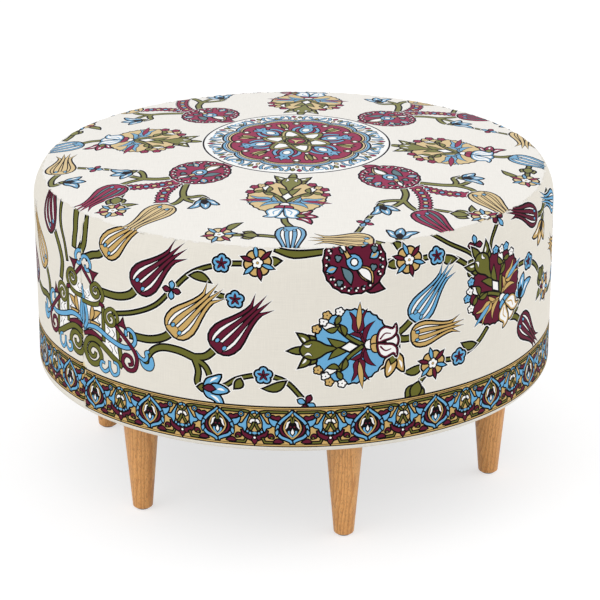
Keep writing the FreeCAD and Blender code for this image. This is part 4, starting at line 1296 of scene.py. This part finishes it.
def honeyWood():  # rings about one far axis, so that each leg shows another cut of the grain
    mat, tree, shader = newFinish("honeyWood", legWood["roughness"])
    shader.inputs["Coat Weight"].default_value = legWood["coat"]
    shader.inputs["Coat Roughness"].default_value = legWood["coatRoughness"]
    place = addNode(tree, "ShaderNodeTexCoord").outputs["Object"]
    wander = noise(tree, place, (45, 45, 9), 4.0)
    leaned = addNode(tree, "ShaderNodeMapping", {"Vector": place})
    leaned.inputs["Rotation"].default_value = [math.radians(a) for a in legWood["tilt"]]
    leaned.inputs["Location"].default_value = legWood["heart"]
    split = addNode(tree, "ShaderNodeSeparateXYZ", [leaned.outputs[0]])
    squares = [sums(tree, "MULTIPLY", side, side) for side in split.outputs[:2]]
    away = sums(tree, "SQRT", sums(tree, "ADD", *squares))
    bent = sums(tree, "MULTIPLY_ADD", wander, legWood["stray"], away)
    ring = sums(tree, "FRACT", sums(tree, "DIVIDE", bent, legWood["rings"]))
    colour = ramp(tree, ring, [(0.0, legWood["pale"]), (0.5, legWood["honey"]), (0.80, legWood["late"]),
                               (0.92, legWood["late"]), (1.0, legWood["pale"])])
    fibre = noise(tree, place, (1100, 1100, 40), 4.0, 0.7)
    shade = remap(tree, fibre, (0.25, 0.75), legWood["fibreShade"])
    pores = remap(tree, noise(tree, place, (1200, 1200, 260), 2.0), (0.55, 0.63))
    grained = blended(tree, "MULTIPLY", 1.0, colour.outputs["Color"], shade)
    poreShare = sums(tree, "MULTIPLY", pores, legWood["poreShare"])
    dotted = blended(tree, "MIX", poreShare, grained, srgb(*legWood["pore"]))
    tree.links.new(dotted, shader.inputs["Base Color"])
    bumped(tree, shader, sums(tree, "SUBTRACT", fibre, pores), 0.18, 0.0003)
    return mat


def mottled(name, dark, light, roughness, stretch, bump=0.2, depth=0.0005, metallic=0.0):
    mat, tree, shader = newFinish(name, roughness, metallic)
    place = addNode(tree, "ShaderNodeTexCoord").outputs["Object"]
    spots = noise(tree, place, stretch, 4.0)
    colour = ramp(tree, spots, [(0.3, dark), (0.7, light)])
    tree.links.new(colour.outputs["Color"], shader.inputs["Base Color"])
    worn = remap(tree, spots, after=(roughness - 0.1, roughness + 0.1))
    tree.links.new(worn, shader.inputs["Roughness"])
    bumped(tree, shader, spots, bump, depth)
    return mat


finishes = {
    # two copies of one cloth: the top's is painted paler, painted light for the stronger light it gets
    "topPrintPaintedLight": printedCloth("printedTopPaintedLight", "top"),
    "sidePrint": printedCloth("printedSide", "side"),
    "legWood": honeyWood(),
    "plywood": mottled("birchPlywood", (196, 160, 112), (226, 196, 150), 0.6, (40, 40, 900)),
    "pine": mottled("pinePost", (205, 168, 110), (232, 202, 150), 0.6, (300, 300, 9)),
    "hardboard": mottled("hardboardWrap", (110, 76, 48), (140, 100, 66), 0.65, (220, 220, 220)),
    "foam": mottled("creamFoam", (226, 210, 164), (240, 228, 190), 0.9, (700, 700, 700), 0.5, 0.001),
    "wadding": mottled("whiteWadding", (226, 226, 222), (246, 246, 244), 0.95, (260, 260, 420), 0.6, 0.002),
    "zinc": mottled("zincSteel", (168, 168, 164), (202, 202, 198), 0.38, (350, 350, 350), 0.1, 0.0002, 1.0),
    "staple": mottled("stapleWire", (176, 178, 182), (212, 214, 218), 0.3, (500, 500, 500),
                      0.1, 0.0002, 1.0),
    "nylon": mottled("darkNylon", (52, 46, 42), (70, 62, 56), 0.5, (500, 500, 500), 0.1, 0.0003),
    "dust": mottled("nonwovenCloth", (40, 40, 42), (62, 62, 64), 0.9, (420, 420, 420), 0.5, 0.0008),
}
finishOf = {  # by how a node's name begins
    "top_cover": "topPrintPaintedLight", "side_cover_": "sidePrint", "leg_": "legWood",
    "base_board": "plywood", "top_board": "plywood", "post_": "pine", "side_wrap": "hardboard",
    "side_foam": "foam", "seat_foam": "foam", "seat_wadding": "wadding",
    "base_screws": "zinc", "top_screws": "zinc", "leg_bolts": "zinc", "t_nuts": "zinc",
    "hem_staples": "staple", "dust_cover_staples": "staple", "leg_glides": "nylon", "dust_cover": "dust",
}
for name, node in nodes.items():
    best = max((start for start in finishOf if name.startswith(start)), key=len)
    node.data.materials.clear()
    node.data.materials.append(finishes[finishOf[best]])
for panel, finish in zip(panels, ("topPrintPaintedLight", "sidePrint", "sidePrint")):
    panel.data.materials.append(finishes[finish])
dustSheet.data.materials.append(finishes["dust"])
print("finishes: every piece has one")
